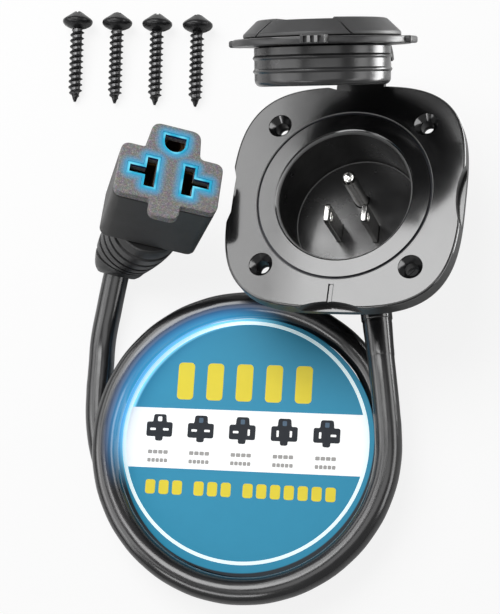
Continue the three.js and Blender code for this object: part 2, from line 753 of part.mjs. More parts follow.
function rearCover() {
  const shell = loft(coverRings(0, coverTop, 0));
  const inside = loft(coverRings(COVER_WALL, coverTop + OVERRUN, COVER_WALL));
  let cover = cut(shell, inside);
  for (const [x, y] of coverScrewPlaces) {
    const foot = depthAtLevel(x, y, 0);
    const post = cylinder(COVER_POST_RADIUS, foot + COVER_WALL / 2, coverTop, 20, x, y);
    cover = join(cover, post.intersect(shell));
  }
  for (const [x, y] of coverScrewPlaces) {
    const foot = depthAtLevel(x, y, 0);
    cover = cut(
      cover,
      cylinder(COVER_SCREW_RADIUS + FIT_GAP, foot - OVERRUN, coverTop + OVERRUN, 12, x, y),
      cylinder(
        COVER_SCREW_HEAD_RADIUS + FIT_GAP,
        foot - 2 * OVERRUN,
        foot + COVER_SCREW_SINK,
        16,
        x,
        y,
      ),
    );
  }
  const reach = OUTLET_COLLAR_REACH;
  const collar = cylinder(OUTLET_COLLAR_RADIUS, reach - OUTLET_COLLAR_LENGTH, reach, 28);
  const pocket = cylinder(
    OUTLET_FLANGE_RADIUS + FIT_GAP,
    reach - OUTLET_COLLAR_LENGTH - OVERRUN,
    reach - COVER_WALL,
    24,
  );
  const bore = cylinder(OUTLET_NECK_RADIUS + FIT_GAP, outletStart, reach + OVERRUN, 24);
  const carrierRoom = cylinder(BARREL_RADIUS + FIT_GAP, coverTop, -FLANGE_THICKNESS, 48);
  return cut(join(cover, atOutlet(collar)), atOutlet(join(pocket, bore)), carrierRoom);
}

function coverScrew([x, y]) {
  const seat = depthAtLevel(x, y, 0) + COVER_SCREW_SINK - FIT_GAP;
  const head = cylinder(COVER_SCREW_HEAD_RADIUS, seat - COVER_SCREW_HEAD, seat, 16, x, y);
  const shank = cylinder(
    COVER_SCREW_RADIUS,
    seat - OVERRUN,
    carrierBack + COVER_SCREW_BITE,
    12,
    x,
    y,
  );
  return join(head, shank);
}

// The outlet's strain relief: a flange inside the wall, a neck, and a slim ringed taper.
function inletStrainRelief() {
  const outerStart = OUTLET_COLLAR_REACH + FIT_GAP;
  const profile = [
    [0, outletStart],
    [OUTLET_FLANGE_RADIUS, outletStart],
    [OUTLET_FLANGE_RADIUS, outletStart + OUTLET_FLANGE],
    [OUTLET_NECK_RADIUS, outletStart + OUTLET_FLANGE],
    [OUTLET_NECK_RADIUS, outerStart],
  ];
  const endRadius = CORD_DIAMETER / 2 + OUTLET_RIB_DEPTH / 2;
  const ringLength = (outletEnd - outerStart) / OUTLET_RIB_COUNT;
  for (let i = 0; i < OUTLET_RIB_COUNT; i++) {
    const share = i / OUTLET_RIB_COUNT;
    const radius = OUTLET_ROOT_RADIUS + (endRadius - OUTLET_ROOT_RADIUS) * share;
    const from = outerStart + ringLength * i;
    profile.push([radius, from]);
    profile.push([radius, from + (2 * ringLength) / 3]);
    profile.push([radius - OUTLET_RIB_DEPTH, from + (2 * ringLength) / 3]);
    profile.push([radius - OUTLET_RIB_DEPTH, from + ringLength]);
  }
  profile.push([endRadius, outletEnd], [0, outletEnd]);
  return atOutlet(turned(profile, 24));
}

const stubEnd = outletStart - FIT_GAP;
const stubStart = TERMINAL_HEIGHT / 2 - BLADE_LINE_OFFSET + SHEATH_CLEAR;

function cordSheathEnd() {
  return atOutlet(cylinder(CORD_DIAMETER / 2, stubStart, stubEnd, 20));
}

// A saddle under the stripped cord end, open towards the contacts.
function cordClamp() {
  const from = stubStart + FIT_GAP;
  const to = from + CLAMP_DEPTH;
  const halfW = CLAMP_WIDTH / 2;
  const body = block(-halfW, halfW, -CLAMP_BELOW, CLAMP_ABOVE, from, to);
  const bore = cylinder(CORD_DIAMETER / 2 + FIT_GAP, from - OVERRUN, to + OVERRUN, 20);
  return atOutlet(cut(body, bore));
}

// A wire from the stripped cord end to the back of a terminal.
function inletWire(offset, x, y) {
  const start = v3(offset, 0, stubStart - FIT_GAP).applyMatrix4(outletPlace);
  const away = v3(offset, 0, stubStart - FIT_GAP - WIRE_RADIUS).applyMatrix4(outletPlace);
  const back = carrierBack - FIT_GAP - TERMINAL_DEPTH - FIT_GAP;
  const end = v3(x, y, back);
  const nearEnd = v3(x, y, back - WIRE_RADIUS);
  const middle = away.clone().add(nearEnd).multiplyScalar(1 / 2);
  middle.z = back - 2 * WIRE_RADIUS;
  return tubeAlong([start, away, middle, nearEnd, end], WIRE_RADIUS, 8, 8);
}

piece(inlet, "flange_housing", flangeHousing(), glossBlack());
piece(inlet, "contact_carrier", contactCarrier(), matteBlack());
piece(inlet, "line_blade", blade(-1), nickel());
piece(inlet, "neutral_blade", blade(1), nickel());
piece(inlet, "ground_pin", groundPin(), nickel());
const halfSpacing = BLADE_SPACING / 2;
const [thinHalf, wideHalf] = [BLADE_THICKNESS / 2, BLADE_WIDTH / 2];
const terminalShift = TERMINAL_SCREW_RADIUS + FIT_GAP;
piece(
  inlet,
  "line_terminal",
  terminal(-halfSpacing, BLADE_LINE_OFFSET, thinHalf, wideHalf),
  brass(),
);
piece(
  inlet,
  "neutral_terminal",
  terminal(halfSpacing, BLADE_LINE_OFFSET, thinHalf, wideHalf),
  brass(),
);
piece(
  inlet,
  "ground_terminal",
  terminal(0, groundY, GROUND_PIN_RADIUS, GROUND_PIN_RADIUS),
  brass(),
);
piece(
  inlet,
  "line_wire",
  inletWire(-2 * WIRE_RADIUS - FIT_GAP, -halfSpacing + terminalShift, BLADE_LINE_OFFSET),
  matteBlack(),
);
piece(
  inlet,
  "neutral_wire",
  inletWire(2 * WIRE_RADIUS + FIT_GAP, halfSpacing - terminalShift, BLADE_LINE_OFFSET),
  finish(0xe6e6e0, 0.5, 0),
);
piece(
  inlet,
  "ground_wire",
  inletWire(0, -terminalShift, groundY),
  finish(0x2d7a3a, 0.5, 0),
);
piece(inlet, "rear_cover", rearCover(), matteBlack());
coverScrewPlaces.forEach((place, i) =>
  piece(inlet, `cover_screw_${i + 1}`, coverScrew(place), nickel()),
);
piece(inlet, "inlet_strain_relief", inletStrainRelief(), rubberBlack());
piece(inlet, "cord_sheath_end", cordSheathEnd(), rubberBlack());
piece(inlet, "cord_clamp", cordClamp(), matteBlack());
piece(inlet, "flange_gasket", flangeGasket(), rubberBlack());
piece(inlet, "hinge_pin", hingePin(), nickel());

// Weather cap: the same frame as the inlet while closed, turned open about the pin

const capHinge = new THREE.Group();
capHinge.position.set(0, HINGE_FROM_CENTRE, -HINGE_BELOW_FACE);
capHinge.rotation.x = -deg(CAP_OPEN_DEG);
inlet.add(capHinge);
const cap = new THREE.Group();
cap.position.set(0, -HINGE_FROM_CENTRE, HINGE_BELOW_FACE);
capHinge.add(cap);

const strapBottom = FIT_GAP;
const strapTop = strapBottom + STRAP_THICKNESS;
const shellBottom = strapTop + FIT_GAP;

// The rubber sheet of the cap: a ring with two ears, the strap, and the hinge knuckle.
function capStrap() {
  let sheet = cylinder(CAP_RIM_RADIUS, strapBottom, strapTop, 48);
  const earHalf = CAP_EAR_WIDTH / 2;
  const ears = block(-CAP_EAR_REACH, CAP_EAR_REACH, -earHalf, earHalf, strapBottom, strapTop);
  const half = STRAP_WIDTH / 2;
  const tongue = block(-half, half, 0, HINGE_FROM_CENTRE, strapBottom, strapTop);
  const latch = block(
    LATCH_SHIFT - LATCH_WIDTH / 2,
    LATCH_SHIFT + LATCH_WIDTH / 2,
    -CAP_RIM_RADIUS - LATCH_REACH,
    -CAP_RIM_RADIUS + OVERRUN,
    strapBottom,
    strapBottom + LATCH_HEIGHT,
  );
  const bendOuter = HINGE_BELOW_FACE + strapTop;
  const bendInner = HINGE_BELOW_FACE + strapBottom;
  const arc = (radius, fromDeg, toDeg, steps) =>
    Array.from({ length: steps + 1 }, (_, i) => {
      const angle = deg(fromDeg + ((toDeg - fromDeg) * i) / steps);
      return new THREE.Vector2(radius * Math.cos(angle), radius * Math.sin(angle));
    });
  const hingeSlab = (points, width) => {
    const slab = new THREE.ExtrudeGeometry(new THREE.Shape(points), {
      depth: width,
      bevelEnabled: false,
    });
    slab.rotateX(Math.PI / 2).rotateZ(Math.PI / 2);
    slab.translate(-width / 2, HINGE_FROM_CENTRE, -HINGE_BELOW_FACE);
    return solidOf(slab);
  };
  const bend = hingeSlab(
    [...arc(bendOuter, 90, BEND_END_DEG, 6), ...arc(bendInner, BEND_END_DEG, 90, 6)],
    STRAP_WIDTH,
  );
  const webRadius = (bendInner + bendOuter) / 2;
  const web = hingeSlab(
    [
      ...arc(webRadius, BEND_WEB_TO_DEG, BEND_WEB_FROM_DEG, 3),
      new THREE.Vector2(HINGE_LUG_RADIUS, -HINGE_LUG_RADIUS / 2),
      new THREE.Vector2(0, -HINGE_LUG_RADIUS / 2),
      new THREE.Vector2(-HINGE_LUG_RADIUS / 2, HINGE_LUG_RADIUS / 2),
    ],
    KNUCKLE_WIDTH,
  );
  const knuckle = new THREE.CylinderGeometry(
    HINGE_LUG_RADIUS,
    HINGE_LUG_RADIUS,
    KNUCKLE_WIDTH,
    20,
  );
  knuckle.rotateZ(Math.PI / 2).translate(0, HINGE_FROM_CENTRE, -HINGE_BELOW_FACE);
  sheet = join(sheet, ears, tongue, latch, bend, web, solidOf(knuckle));
  const spigotHole = cylinder(
    SPIGOT_RADIUS + FIT_GAP,
    strapBottom - OVERRUN,
    strapTop + OVERRUN,
    24,
  );
  return cut(sheet, pinBore(), spigotHole);
}

// The hard dome of the cap, with a shallow channel across its top.
function capShell() {
  const base = shellBottom + CAP_BASE_STEP;
  const top = shellBottom + CAP_HEIGHT;
  const sides = 48;
  const dome = loft([
    ringPoints(CAP_BASE_RADIUS, shellBottom, sides),
    ringPoints(CAP_BASE_RADIUS, base, sides),
    ringPoints(CAP_TOP_RADIUS, top, sides),
  ]);
  const channel = block(
    -CAP_CHANNEL_WIDTH / 2,
    CAP_CHANNEL_WIDTH / 2,
    -CAP_BASE_RADIUS,
    CAP_BASE_RADIUS,
    top - CAP_CHANNEL_DEPTH,
    top + OVERRUN,
  );
  const socket = cylinder(
    SPIGOT_RADIUS + FIT_GAP,
    shellBottom - OVERRUN,
    top - CAP_BASE_STEP,
    24,
  );
  return cut(dome, channel, socket);
}

// The plug that fills the recess: a cup with two sealing ribs and a spigot to the shell.
function capPlug() {
  const profile = [[0, 0]];
  profile.push([PLUG_RADIUS, 0]);
  for (const share of PLUG_RIB_SHARES) {
    const depth = PLUG_DEPTH * share;
    profile.push([PLUG_RADIUS, -depth + PLUG_RIB_HEIGHT / 2]);
    profile.push([PLUG_RIB_RADIUS, -depth]);
    profile.push([PLUG_RADIUS, -depth - PLUG_RIB_HEIGHT / 2]);
  }
  for (let i = 0; i <= 4; i++) {
    const angle = (i / 4) * (Math.PI / 2);
    profile.push([
      PLUG_RADIUS - PLUG_EDGE_ROUND + PLUG_EDGE_ROUND * Math.cos(angle),
      -PLUG_DEPTH + PLUG_EDGE_ROUND - PLUG_EDGE_ROUND * Math.sin(angle),
    ]);
  }
  profile.push([0, -PLUG_DEPTH]);
  const cup = cylinder(PLUG_RADIUS - PLUG_WALL, -PLUG_DEPTH - OVERRUN, -PLUG_FLOOR, 48);
  const spigotTop = shellBottom + CAP_HEIGHT - CAP_BASE_STEP - FIT_GAP;
  const spigot = cylinder(SPIGOT_RADIUS, -PLUG_FLOOR / 2, spigotTop, 24);
  return join(cut(turned(profile, 48), cup), spigot);
}

piece(cap, "cap_strap", capStrap(), rubberBlack());
piece(cap, "cap_shell", capShell(), matteBlack());
piece(cap, "cap_plug", capPlug(), rubberBlack());

// Connector frame: X to the right, Y up its face, Z out of its face

const connector = new THREE.Group();
connector.position.set(CONNECTOR_X, CONNECTOR_Y, CONNECTOR_HEIGHT);
connector.quaternion.copy(
  leaned(CONNECTOR_LEAN_DEG, CONNECTOR_LEAN_TOWARDS_DEG, CONNECTOR_ROLL_DEG),
);
adapter.add(connector);

// The corner points of the face, each with its own rounding radius.
function faceCorners(tabBottom) {
  const corner = FACE_CORNER;
  const inner = FACE_CORNER / 2;
  const right = [
    [FACE_TAB_HALF, tabBottom, corner],
    [FACE_TAB_HALF, FACE_BOTTOM, inner / 2],
    [FACE_HALF_WIDTH, FACE_BOTTOM, corner],
    [FACE_HALF_WIDTH, FACE_LOBE_TOP, corner],
    [FACE_TOP_LOBE_HALF, FACE_LOBE_TOP, inner],
    [FACE_TOP_LOBE_HALF - FACE_TOP_TAPER, FACE_TOP, corner],
  ];
  const left = right.map(([x, y, r]) => [-x, y, r]).reverse();
  return [...right, ...left];
}

// Rounds each corner of a closed outline with an arc-like curve of a few points.
function roundedOutline(corners, stepsPerCorner = 4) {
  const points = [];
  const count = corners.length;
  corners.forEach(([x, y, radius], i) => {
    const here = new THREE.Vector2(x, y);
    const before = new THREE.Vector2(...corners[(i + count - 1) % count]);
    const after = new THREE.Vector2(...corners[(i + 1) % count]);
    const toBefore = before.clone().sub(here).normalize();
    const toAfter = after.clone().sub(here).normalize();
    const start = here.clone().addScaledVector(toBefore, radius);
    const end = here.clone().addScaledVector(toAfter, radius);
    const curve = new THREE.QuadraticBezierCurve(start, here, end);
    points.push(...curve.getPoints(stepsPerCorner));
  });
  return points;
}

const bodyCorners = faceCorners(FACE_BOTTOM).filter(
  ([x, y]) => !(Math.abs(x) === FACE_TAB_HALF && y === FACE_BOTTOM),
);

function connectorRing(scale, z) {
  return roundedOutline(bodyCorners, 3).map((p) => v3(p.x * scale, p.y * scale, z));
}

const plateBack = -FACE_PLATE;
const bodyFront = plateBack - FIT_GAP;
const bodyBack = -CONNECTOR_LENGTH;
const slotX = BLADE_SPACING / 2;
const slotOuter = slotX + SLOT_WIDTH / 2;
const slotInner = slotX - SLOT_WIDTH / 2;

// A T-shaped slot on one side, grown on all sides, between two depths.
function teeSlot(side, grow, from, to) {
  const order = (a, b) => (side < 0 ? [-b, -a] : [a, b]);
  const [bar0, bar1] = order(slotInner - grow, slotOuter + grow);
  const [arm0, arm1] = order(slotOuter - SLOT_WIDTH / 2, SLOT_ARM_END + grow);
  const barHalf = SLOT_HALF_HEIGHT + grow;
  const armHalf = SLOT_ARM_HALF + grow;
  return join(
    block(bar0, bar1, -barHalf, barHalf, from, to),
    block(arm0, arm1, -armHalf, armHalf, from, to),
  );
}

// The D-shaped ground slot, flat side up.
function groundSlot(grow, from, to) {
  const half = GROUND_SLOT_HALF + grow;
  const centre = GROUND_SLOT_BOTTOM + GROUND_SLOT_HALF;
  const points = [new THREE.Vector2(half, GROUND_SLOT_TOP + grow)];
  points.push(new THREE.Vector2(-half, GROUND_SLOT_TOP + grow));
  for (let i = 0; i <= 10; i++) {
    const angle = Math.PI + (i / 10) * Math.PI;
    points.push(new THREE.Vector2(half * Math.cos(angle), centre + half * Math.sin(angle)));
  }
  return plate(points, from, to);
}

function connectorFace() {
  const face = plate(roundedOutline(faceCorners(FACE_TAB_BOTTOM)), plateBack, 0);
  const through = [plateBack - OVERRUN, OVERRUN];
  const rimGrow = SLOT_RIM_WIDTH + FIT_GAP;
  const pocket = [-SLOT_RIM_DEPTH - FIT_GAP, OVERRUN];
  return cut(
    face,
    teeSlot(-1, 0, ...through),
    teeSlot(1, 0, ...through),
    groundSlot(0, ...through),
    teeSlot(-1, rimGrow, ...pocket),
    teeSlot(1, rimGrow, ...pocket),
    groundSlot(rimGrow, ...pocket),
  );
}

function slotRim(slot) {
  return cut(
    slot(SLOT_RIM_WIDTH, -SLOT_RIM_DEPTH, 0),
    slot(0, -SLOT_RIM_DEPTH - OVERRUN, OVERRUN),
  );
}

const cavityBack = bodyBack + CONNECTOR_REAR_WALL;
const lobeHalf = FACE_TOP_LOBE_HALF - FACE_TOP_TAPER - CONNECTOR_WALL;

function connectorBody() {
  const shell = loft([connectorRing(CONNECTOR_TAPER, bodyBack), connectorRing(1, bodyFront)]);
  const wideHalf = FACE_HALF_WIDTH * CONNECTOR_TAPER - CONNECTOR_WALL;
  const low = FACE_BOTTOM * CONNECTOR_TAPER + CONNECTOR_WALL;
  const high = FACE_LOBE_TOP * CONNECTOR_TAPER - CONNECTOR_WALL;
  const front = bodyFront + OVERRUN;
  const room = join(
    block(-wideHalf, wideHalf, low, high, cavityBack, front),
    block(-lobeHalf, lobeHalf, 0, cavityTop, cavityBack, front),
  );
  const neckHole = cylinder(
    RELIEF_NECK_RADIUS + FIT_GAP,
    bodyBack - OVERRUN,
    cavityBack + OVERRUN,
    24,
  );
  return cut(shell, room, neckHole);
}

const contactFront = plateBack - FIT_GAP;

// A brass clip behind a T-slot, open to the blade and to the sideways blade.
function teeContact(side) {
  const back = contactFront - CONTACT_DEPTH;
  const skin = teeSlot(side, CONTACT_WALL, back, contactFront);
  return cut(skin, teeSlot(side, 0, back + CONTACT_WALL, contactFront + OVERRUN));
}

const groundContactRadius = GROUND_PIN_RADIUS + CONTACT_PLAY + CONTACT_WALL;
const cavityTop = FACE_TOP * CONNECTOR_TAPER - CONNECTOR_WALL / 2;
const groundContactY = cavityTop - FIT_GAP - groundContactRadius;

function groundContact() {
  const back = contactFront - CONTACT_DEPTH;
  const tube = cylinder(groundContactRadius, back, contactFront, 20, 0, groundContactY);
  const bore = cylinder(
    groundContactRadius - CONTACT_WALL,
    back + CONTACT_WALL,
    contactFront + OVERRUN,
    20,
    0,
    groundContactY,
  );
  return cut(tube, bore);
}

// A wire from the strain relief's neck to the back of a contact.
function connectorWire(offset, x, y) {
  const start = v3(offset, 0, cavityBack + 2 * FIT_GAP);
  const end = v3(x, y, contactFront - CONTACT_DEPTH - FIT_GAP);
  const reach = (end.z - start.z) / 3;
  return tubeAlong(
    [start, v3(offset, 0, start.z + reach), v3(x, y, end.z - reach), end],
    WIRE_RADIUS,
    6,
    8,
  );
}

piece(connector, "connector_face", connectorFace(), speckleGrey());
piece(connector, "connector_body", connectorBody(), darkGrey());
piece(connector, "line_slot_rim", slotRim((...a) => teeSlot(-1, ...a)), cyan());
piece(connector, "neutral_slot_rim", slotRim((...a) => teeSlot(1, ...a)), cyan());
piece(connector, "ground_slot_rim", slotRim(groundSlot), cyan());
piece(connector, "line_contact", teeContact(-1), brass());
piece(connector, "neutral_contact", teeContact(1), brass());
piece(connector, "ground_contact", groundContact(), brass());
const wireStep = 2 * (WIRE_RADIUS + FIT_GAP);
piece(connector, "connector_line_wire", connectorWire(-wireStep, -slotX, 0), matteBlack());
piece(
  connector,
  "connector_neutral_wire",
  connectorWire(wireStep, slotX, 0),
  finish(0xe6e6e0, 0.5, 0),
);
piece(
  connector,
  "connector_ground_wire",
  connectorWire(0, 0, groundContactY),
  finish(0x2d7a3a, 0.5, 0),
);

// The bent ribbed strain relief, in the world frame

const reliefEnd = v3(RELIEF_END_X, RELIEF_END_Y, RELIEF_END_HEIGHT);
const reliefEndDirection = v3(...RELIEF_END_DIRECTION).normalize();

function reliefPath() {
  const start = v3(0, 0, bodyBack - FIT_GAP)
    .applyQuaternion(connector.quaternion)
    .add(connector.position);
  const back = v3(0, 0, -1).applyQuaternion(connector.quaternion);
  return new THREE.CubicBezierCurve3(
    start,
    start.clone().addScaledVector(back, RELIEF_START_PULL),
    reliefEnd.clone().addScaledVector(reliefEndDirection, -RELIEF_END_PULL),
    reliefEnd,
  );
}

// The relief's radius, as a share of its length from the connector to the cord.
function reliefRadius(share) {
  if (share < RELIEF_BELLY_SHARE) {
    const rise = Math.sin((share / RELIEF_BELLY_SHARE) * (Math.PI / 2));
    return RELIEF_ROOT_RADIUS + (RELIEF_BELLY_RADIUS - RELIEF_ROOT_RADIUS) * rise;
  }
  const fall = (share - RELIEF_BELLY_SHARE) / (1 - RELIEF_BELLY_SHARE);
  const narrowed = (RELIEF_BELLY_RADIUS - RELIEF_END_RADIUS) * fall ** RELIEF_TAPER_POWER;
  return RELIEF_BELLY_RADIUS - narrowed;
}

function connectorStrainRelief() {
  const path = reliefPath();
  const side = v3(1, 0, 0).applyQuaternion(connector.quaternion);
  const count = 20;
  const ringAt = (share, radius) => {
    const centre = path.getPointAt(share);
    const along = path.getTangentAt(share);
    const across = side.clone().addScaledVector(along, -side.dot(along)).normalize();
    const up = along.clone().cross(across);
    return Array.from({ length: count }, (_, i) => {
      const angle = (i / count) * 2 * Math.PI;
      return centre
        .clone()
        .addScaledVector(across, radius * Math.cos(angle))
        .addScaledVector(up, radius * Math.sin(angle));
    });
  };
  const rings = [ringAt(0, reliefRadius(0))];
  const ribShare = (RELIEF_LAST_RIB_SHARE - RELIEF_FIRST_RIB_SHARE) / RELIEF_RIB_COUNT;
  for (let i = 0; i < RELIEF_RIB_COUNT; i++) {
    const from = RELIEF_FIRST_RIB_SHARE + ribShare * i;
    const to = from + ribShare * RELIEF_GROOVE_SHARE;
    rings.push(ringAt(from, reliefRadius(from)));
    rings.push(ringAt(from, reliefRadius(from) - RELIEF_RIB_DEPTH));
    rings.push(ringAt(to, reliefRadius(to) - RELIEF_RIB_DEPTH));
    rings.push(ringAt(to, reliefRadius(to)));
  }
  rings.push(ringAt(1, RELIEF_END_RADIUS));
  const sleeve = loft(rings);
  const back = v3(0, 0, -1).applyQuaternion(connector.quaternion);
  const neckFrom = path.getPointAt(0).addScaledVector(back, OVERRUN);
  const neckLength = CONNECTOR_REAR_WALL + FIT_GAP + OVERRUN;
  const neck = new THREE.CylinderGeometry(
    RELIEF_NECK_RADIUS,
    RELIEF_NECK_RADIUS,
    neckLength,
    24,
  );
  neck.rotateX(Math.PI / 2).translate(0, 0, neckLength / 2);
  neck.applyQuaternion(connector.quaternion).translate(neckFrom.x, neckFrom.y, neckFrom.z);
  return join(sleeve, solidOf(neck));
}

piece(adapter, "connector_strain_relief", connectorStrainRelief(), rubberBlack());

// The cord: two free leads and the coil between them

const smooth = (share) => {
  const t = Math.min(1, Math.max(0, share));
  return t * t * (3 - 2 * t);
};

function coilPoint(angleDeg) {
  const spread = 1 - Math.min(1, (angleDeg - COIL_START_DEG) / COIL_SPREAD_SPAN_DEG);
  const widen = smooth(
    (angleDeg - COIL_WIDEN_FROM_DEG) / (COIL_WIDEN_TO_DEG - COIL_WIDEN_FROM_DEG),
  );
  const climb = smooth(
    (angleDeg - COIL_CLIMB_FROM_DEG) / (COIL_CLIMB_TO_DEG - COIL_CLIMB_FROM_DEG),
  );
  const radius =
    COIL_LOW_RADIUS +
    COIL_START_SPREAD * spread * spread +
    (COIL_HIGH_RADIUS - COIL_LOW_RADIUS) * widen;
  return v3(
    COIL_X + radius * Math.cos(deg(angleDeg)),
    COIL_Y + radius * Math.sin(deg(angleDeg)),
    COIL_LOW_HEIGHT + COIL_LAYER * climb,
  );
}

// The coil's middle line, with a straight run of one diameter at each end.
function coilRoute() {
  const stepDeg = 360 / COIL_STEPS_PER_TURN;
  const count = Math.round((COIL_END_DEG - COIL_START_DEG) / stepDeg);
  const points = [];
  for (let i = 0; i <= count; i++)
    points.push(coilPoint(COIL_START_DEG + ((COIL_END_DEG - COIL_START_DEG) * i) / count));
  const nudgeDeg = stepDeg / 8;
  const first = coilPoint(COIL_START_DEG);
  const last = coilPoint(COIL_END_DEG);
  const firstAway = first.clone().sub(coilPoint(COIL_START_DEG + nudgeDeg)).normalize();
  const lastAway = last.clone().sub(coilPoint(COIL_END_DEG - nudgeDeg)).normalize();
  const head = first.clone().addScaledVector(firstAway, CORD_DIAMETER);
  const tail = last.clone().addScaledVector(lastAway, CORD_DIAMETER);
  return { points: [head, ...points, tail], head, tail, firstAway, lastAway, count };
}

// The least gap of a tube to itself, measured between points along its middle line.
function leastGapToItself(points, diameter) {
  const path = new THREE.CatmullRomCurve3(points, false, "centripetal");
  const samples = path.getSpacedPoints(480);
  const spacing = path.getLength() / 480;
  const apart = Math.ceil((3 * diameter) / spacing);
  let least = Infinity;
  for (let i = 0; i < samples.length; i++)
    for (let j = i + apart; j < samples.length; j++)
      least = Math.min(least, samples[i].distanceTo(samples[j]) - diameter);
  return least;
}

const coil = coilRoute();
const cordRadius = CORD_DIAMETER / 2;
piece(
  adapter,
  "cord_coil",
  tubeAlong(coil.points, cordRadius, coil.count + 2, COIL_SIDES),
  glossBlack(),
);
console.log(
  "cord_coil least gap to itself: " +
    leastGapToItself(coil.points, CORD_DIAMETER).toFixed(2) +
    " mm",
);

const connectorLeadStart = reliefEnd.clone().addScaledVector(reliefEndDirection, FIT_GAP);
const connectorLead = [
  connectorLeadStart,
  connectorLeadStart.clone().addScaledVector(reliefEndDirection, cordRadius),
  ...CONNECTOR_LEAD_POINTS.map((p) => v3(...p)),
  coil.head.clone().addScaledVector(coil.firstAway, cordRadius + FIT_GAP),
  coil.head.clone().addScaledVector(coil.firstAway, FIT_GAP),
];
piece(
  adapter,
  "cord_lead_connector",
  tubeAlong(connectorLead, cordRadius, 6, LEAD_SIDES),
  glossBlack(),
);

const inletLeadEnd = outletOrigin
  .clone()
  .addScaledVector(outletDirection, outletEnd + FIT_GAP);
const inletLead = [
  coil.tail.clone().addScaledVector(coil.lastAway, FIT_GAP),
  coil.tail.clone().addScaledVector(coil.lastAway, cordRadius),
  inletLeadEnd.clone().addScaledVector(outletDirection, cordRadius),
  inletLeadEnd,
];
piece(
  adapter,
  "cord_lead_inlet",
  tubeAlong(inletLead, cordRadius, 4, LEAD_SIDES),
  glossBlack(),
);

// Printed label disc lying inside the coil

piece(
  adapter,
  "label_disc",
  cylinder(
    LABEL_RADIUS,
    LABEL_BOTTOM,
    LABEL_BOTTOM + LABEL_THICKNESS,
    72,
    COIL_X,
    COIL_Y,
  ),
  teal(),
);

// Mounting screws, each with its length along Z from its tip

const screwShankTop = SCREW_TIP_LENGTH + SCREW_THREAD_LENGTH;
const screwRim = screwShankTop + SCREW_HEAD_CONE;

function mountingScrew() {
  const profile = [
    [0, 0],
    [SCREW_TIP_RADIUS, SCREW_TIP_RADIUS],
    [SCREW_CORE_RADIUS, SCREW_TIP_LENGTH],
  ];
  const turns = Math.floor((SCREW_THREAD_LENGTH - SCREW_PITCH) / SCREW_PITCH);
  for (let i = 0; i < turns; i++) {
    const from = SCREW_TIP_LENGTH + SCREW_PITCH * i;
    profile.push([SCREW_CORE_RADIUS, from + SCREW_PITCH / 3]);
    profile.push([SCREW_CREST_RADIUS, from + SCREW_PITCH / 2]);
    profile.push([SCREW_CORE_RADIUS, from + (2 * SCREW_PITCH) / 3]);
  }
  profile.push(
    [SCREW_CORE_RADIUS, screwShankTop],
    [SCREW_HEAD_RADIUS, screwRim],
    [SCREW_HEAD_RADIUS, screwRim + SCREW_HEAD_RIM],
    [SCREW_HEAD_NOSE_RADIUS, screwRim + SCREW_HEAD_DOME],
    [0, screwRim + SCREW_HEAD_DOME],
  );
  const top = screwRim + SCREW_HEAD_DOME;
  const [long, short] = [SCREW_RECESS_HALF, SCREW_RECESS_WIDTH / 2];
  const floor = top - SCREW_RECESS_DEPTH;
  return cut(
    turned(profile, 10),
    block(-long, long, -short, short, floor, top + OVERRUN),
    block(-short, short, -long, long, floor, top + OVERRUN),
  );
}

// The screw rests on the rim of its head and on its first full thread crest.
const firstCrest = SCREW_TIP_LENGTH + SCREW_PITCH / 2;
const screwRise = Math.atan(
  (SCREW_HEAD_RADIUS - SCREW_CREST_RADIUS) / (screwRim - firstCrest),
);
const tipHeight = SCREW_CREST_RADIUS * Math.cos(screwRise) - firstCrest * Math.sin(screwRise);
for (let i = 0; i < SCREW_COUNT; i++) {
  const lying = new THREE.Group();
  lying.position.set(SCREW_FIRST_X + i * SCREW_STEP_X, SCREW_FIRST_Y + i * SCREW_STEP_Y, tipHeight);
  lying.quaternion.copy(leaned(90 - (screwRise * 180) / Math.PI, SCREW_HEADING_DEG, 0));
  adapter.add(lying);
  piece(lying, `mounting_screw_${i + 1}`, mountingScrew(), glossBlack());
}

export default adapter;
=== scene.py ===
import math

import bmesh
import bpy
from mathutils import Matrix, Quaternion, Vector


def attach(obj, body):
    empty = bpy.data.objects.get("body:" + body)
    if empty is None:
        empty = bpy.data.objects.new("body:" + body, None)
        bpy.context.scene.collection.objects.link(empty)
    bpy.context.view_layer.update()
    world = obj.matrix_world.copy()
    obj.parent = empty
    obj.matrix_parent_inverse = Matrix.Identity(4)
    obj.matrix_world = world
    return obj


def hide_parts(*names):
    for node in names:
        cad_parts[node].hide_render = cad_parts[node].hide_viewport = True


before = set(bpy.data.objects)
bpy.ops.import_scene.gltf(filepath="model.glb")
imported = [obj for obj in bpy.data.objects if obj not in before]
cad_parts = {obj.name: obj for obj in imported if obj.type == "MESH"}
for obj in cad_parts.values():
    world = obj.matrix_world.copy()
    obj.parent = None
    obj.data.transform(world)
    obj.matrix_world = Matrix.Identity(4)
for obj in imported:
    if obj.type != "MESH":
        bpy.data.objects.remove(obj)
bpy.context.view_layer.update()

MM = 0.001
TAU = 2 * math.pi

# -------- camera
CAMERA_AT = Vector((66.293, -135.622, 546.458)) * MM
CAMERA_WAY = Vector((-0.1963, 0.2042, -0.9590))
CAMERA_UP = Vector((0.041, 0.979, 0.200))
FOCAL_LENGTH_PX = 1600
PICTURE_HEIGHT_PX = 614
SENSOR_WIDTH = 36.0


def look_matrix(at, forward, up):
    """The frame of a camera or lamp that looks forward along its own -Z axis."""
    back = -forward.normalized()
    right = up.cross(back).normalized()
    true_up = back.cross(right)
    m = Matrix((right, true_up, back)).transposed().to_4x4()
    m.translation = at
    return m


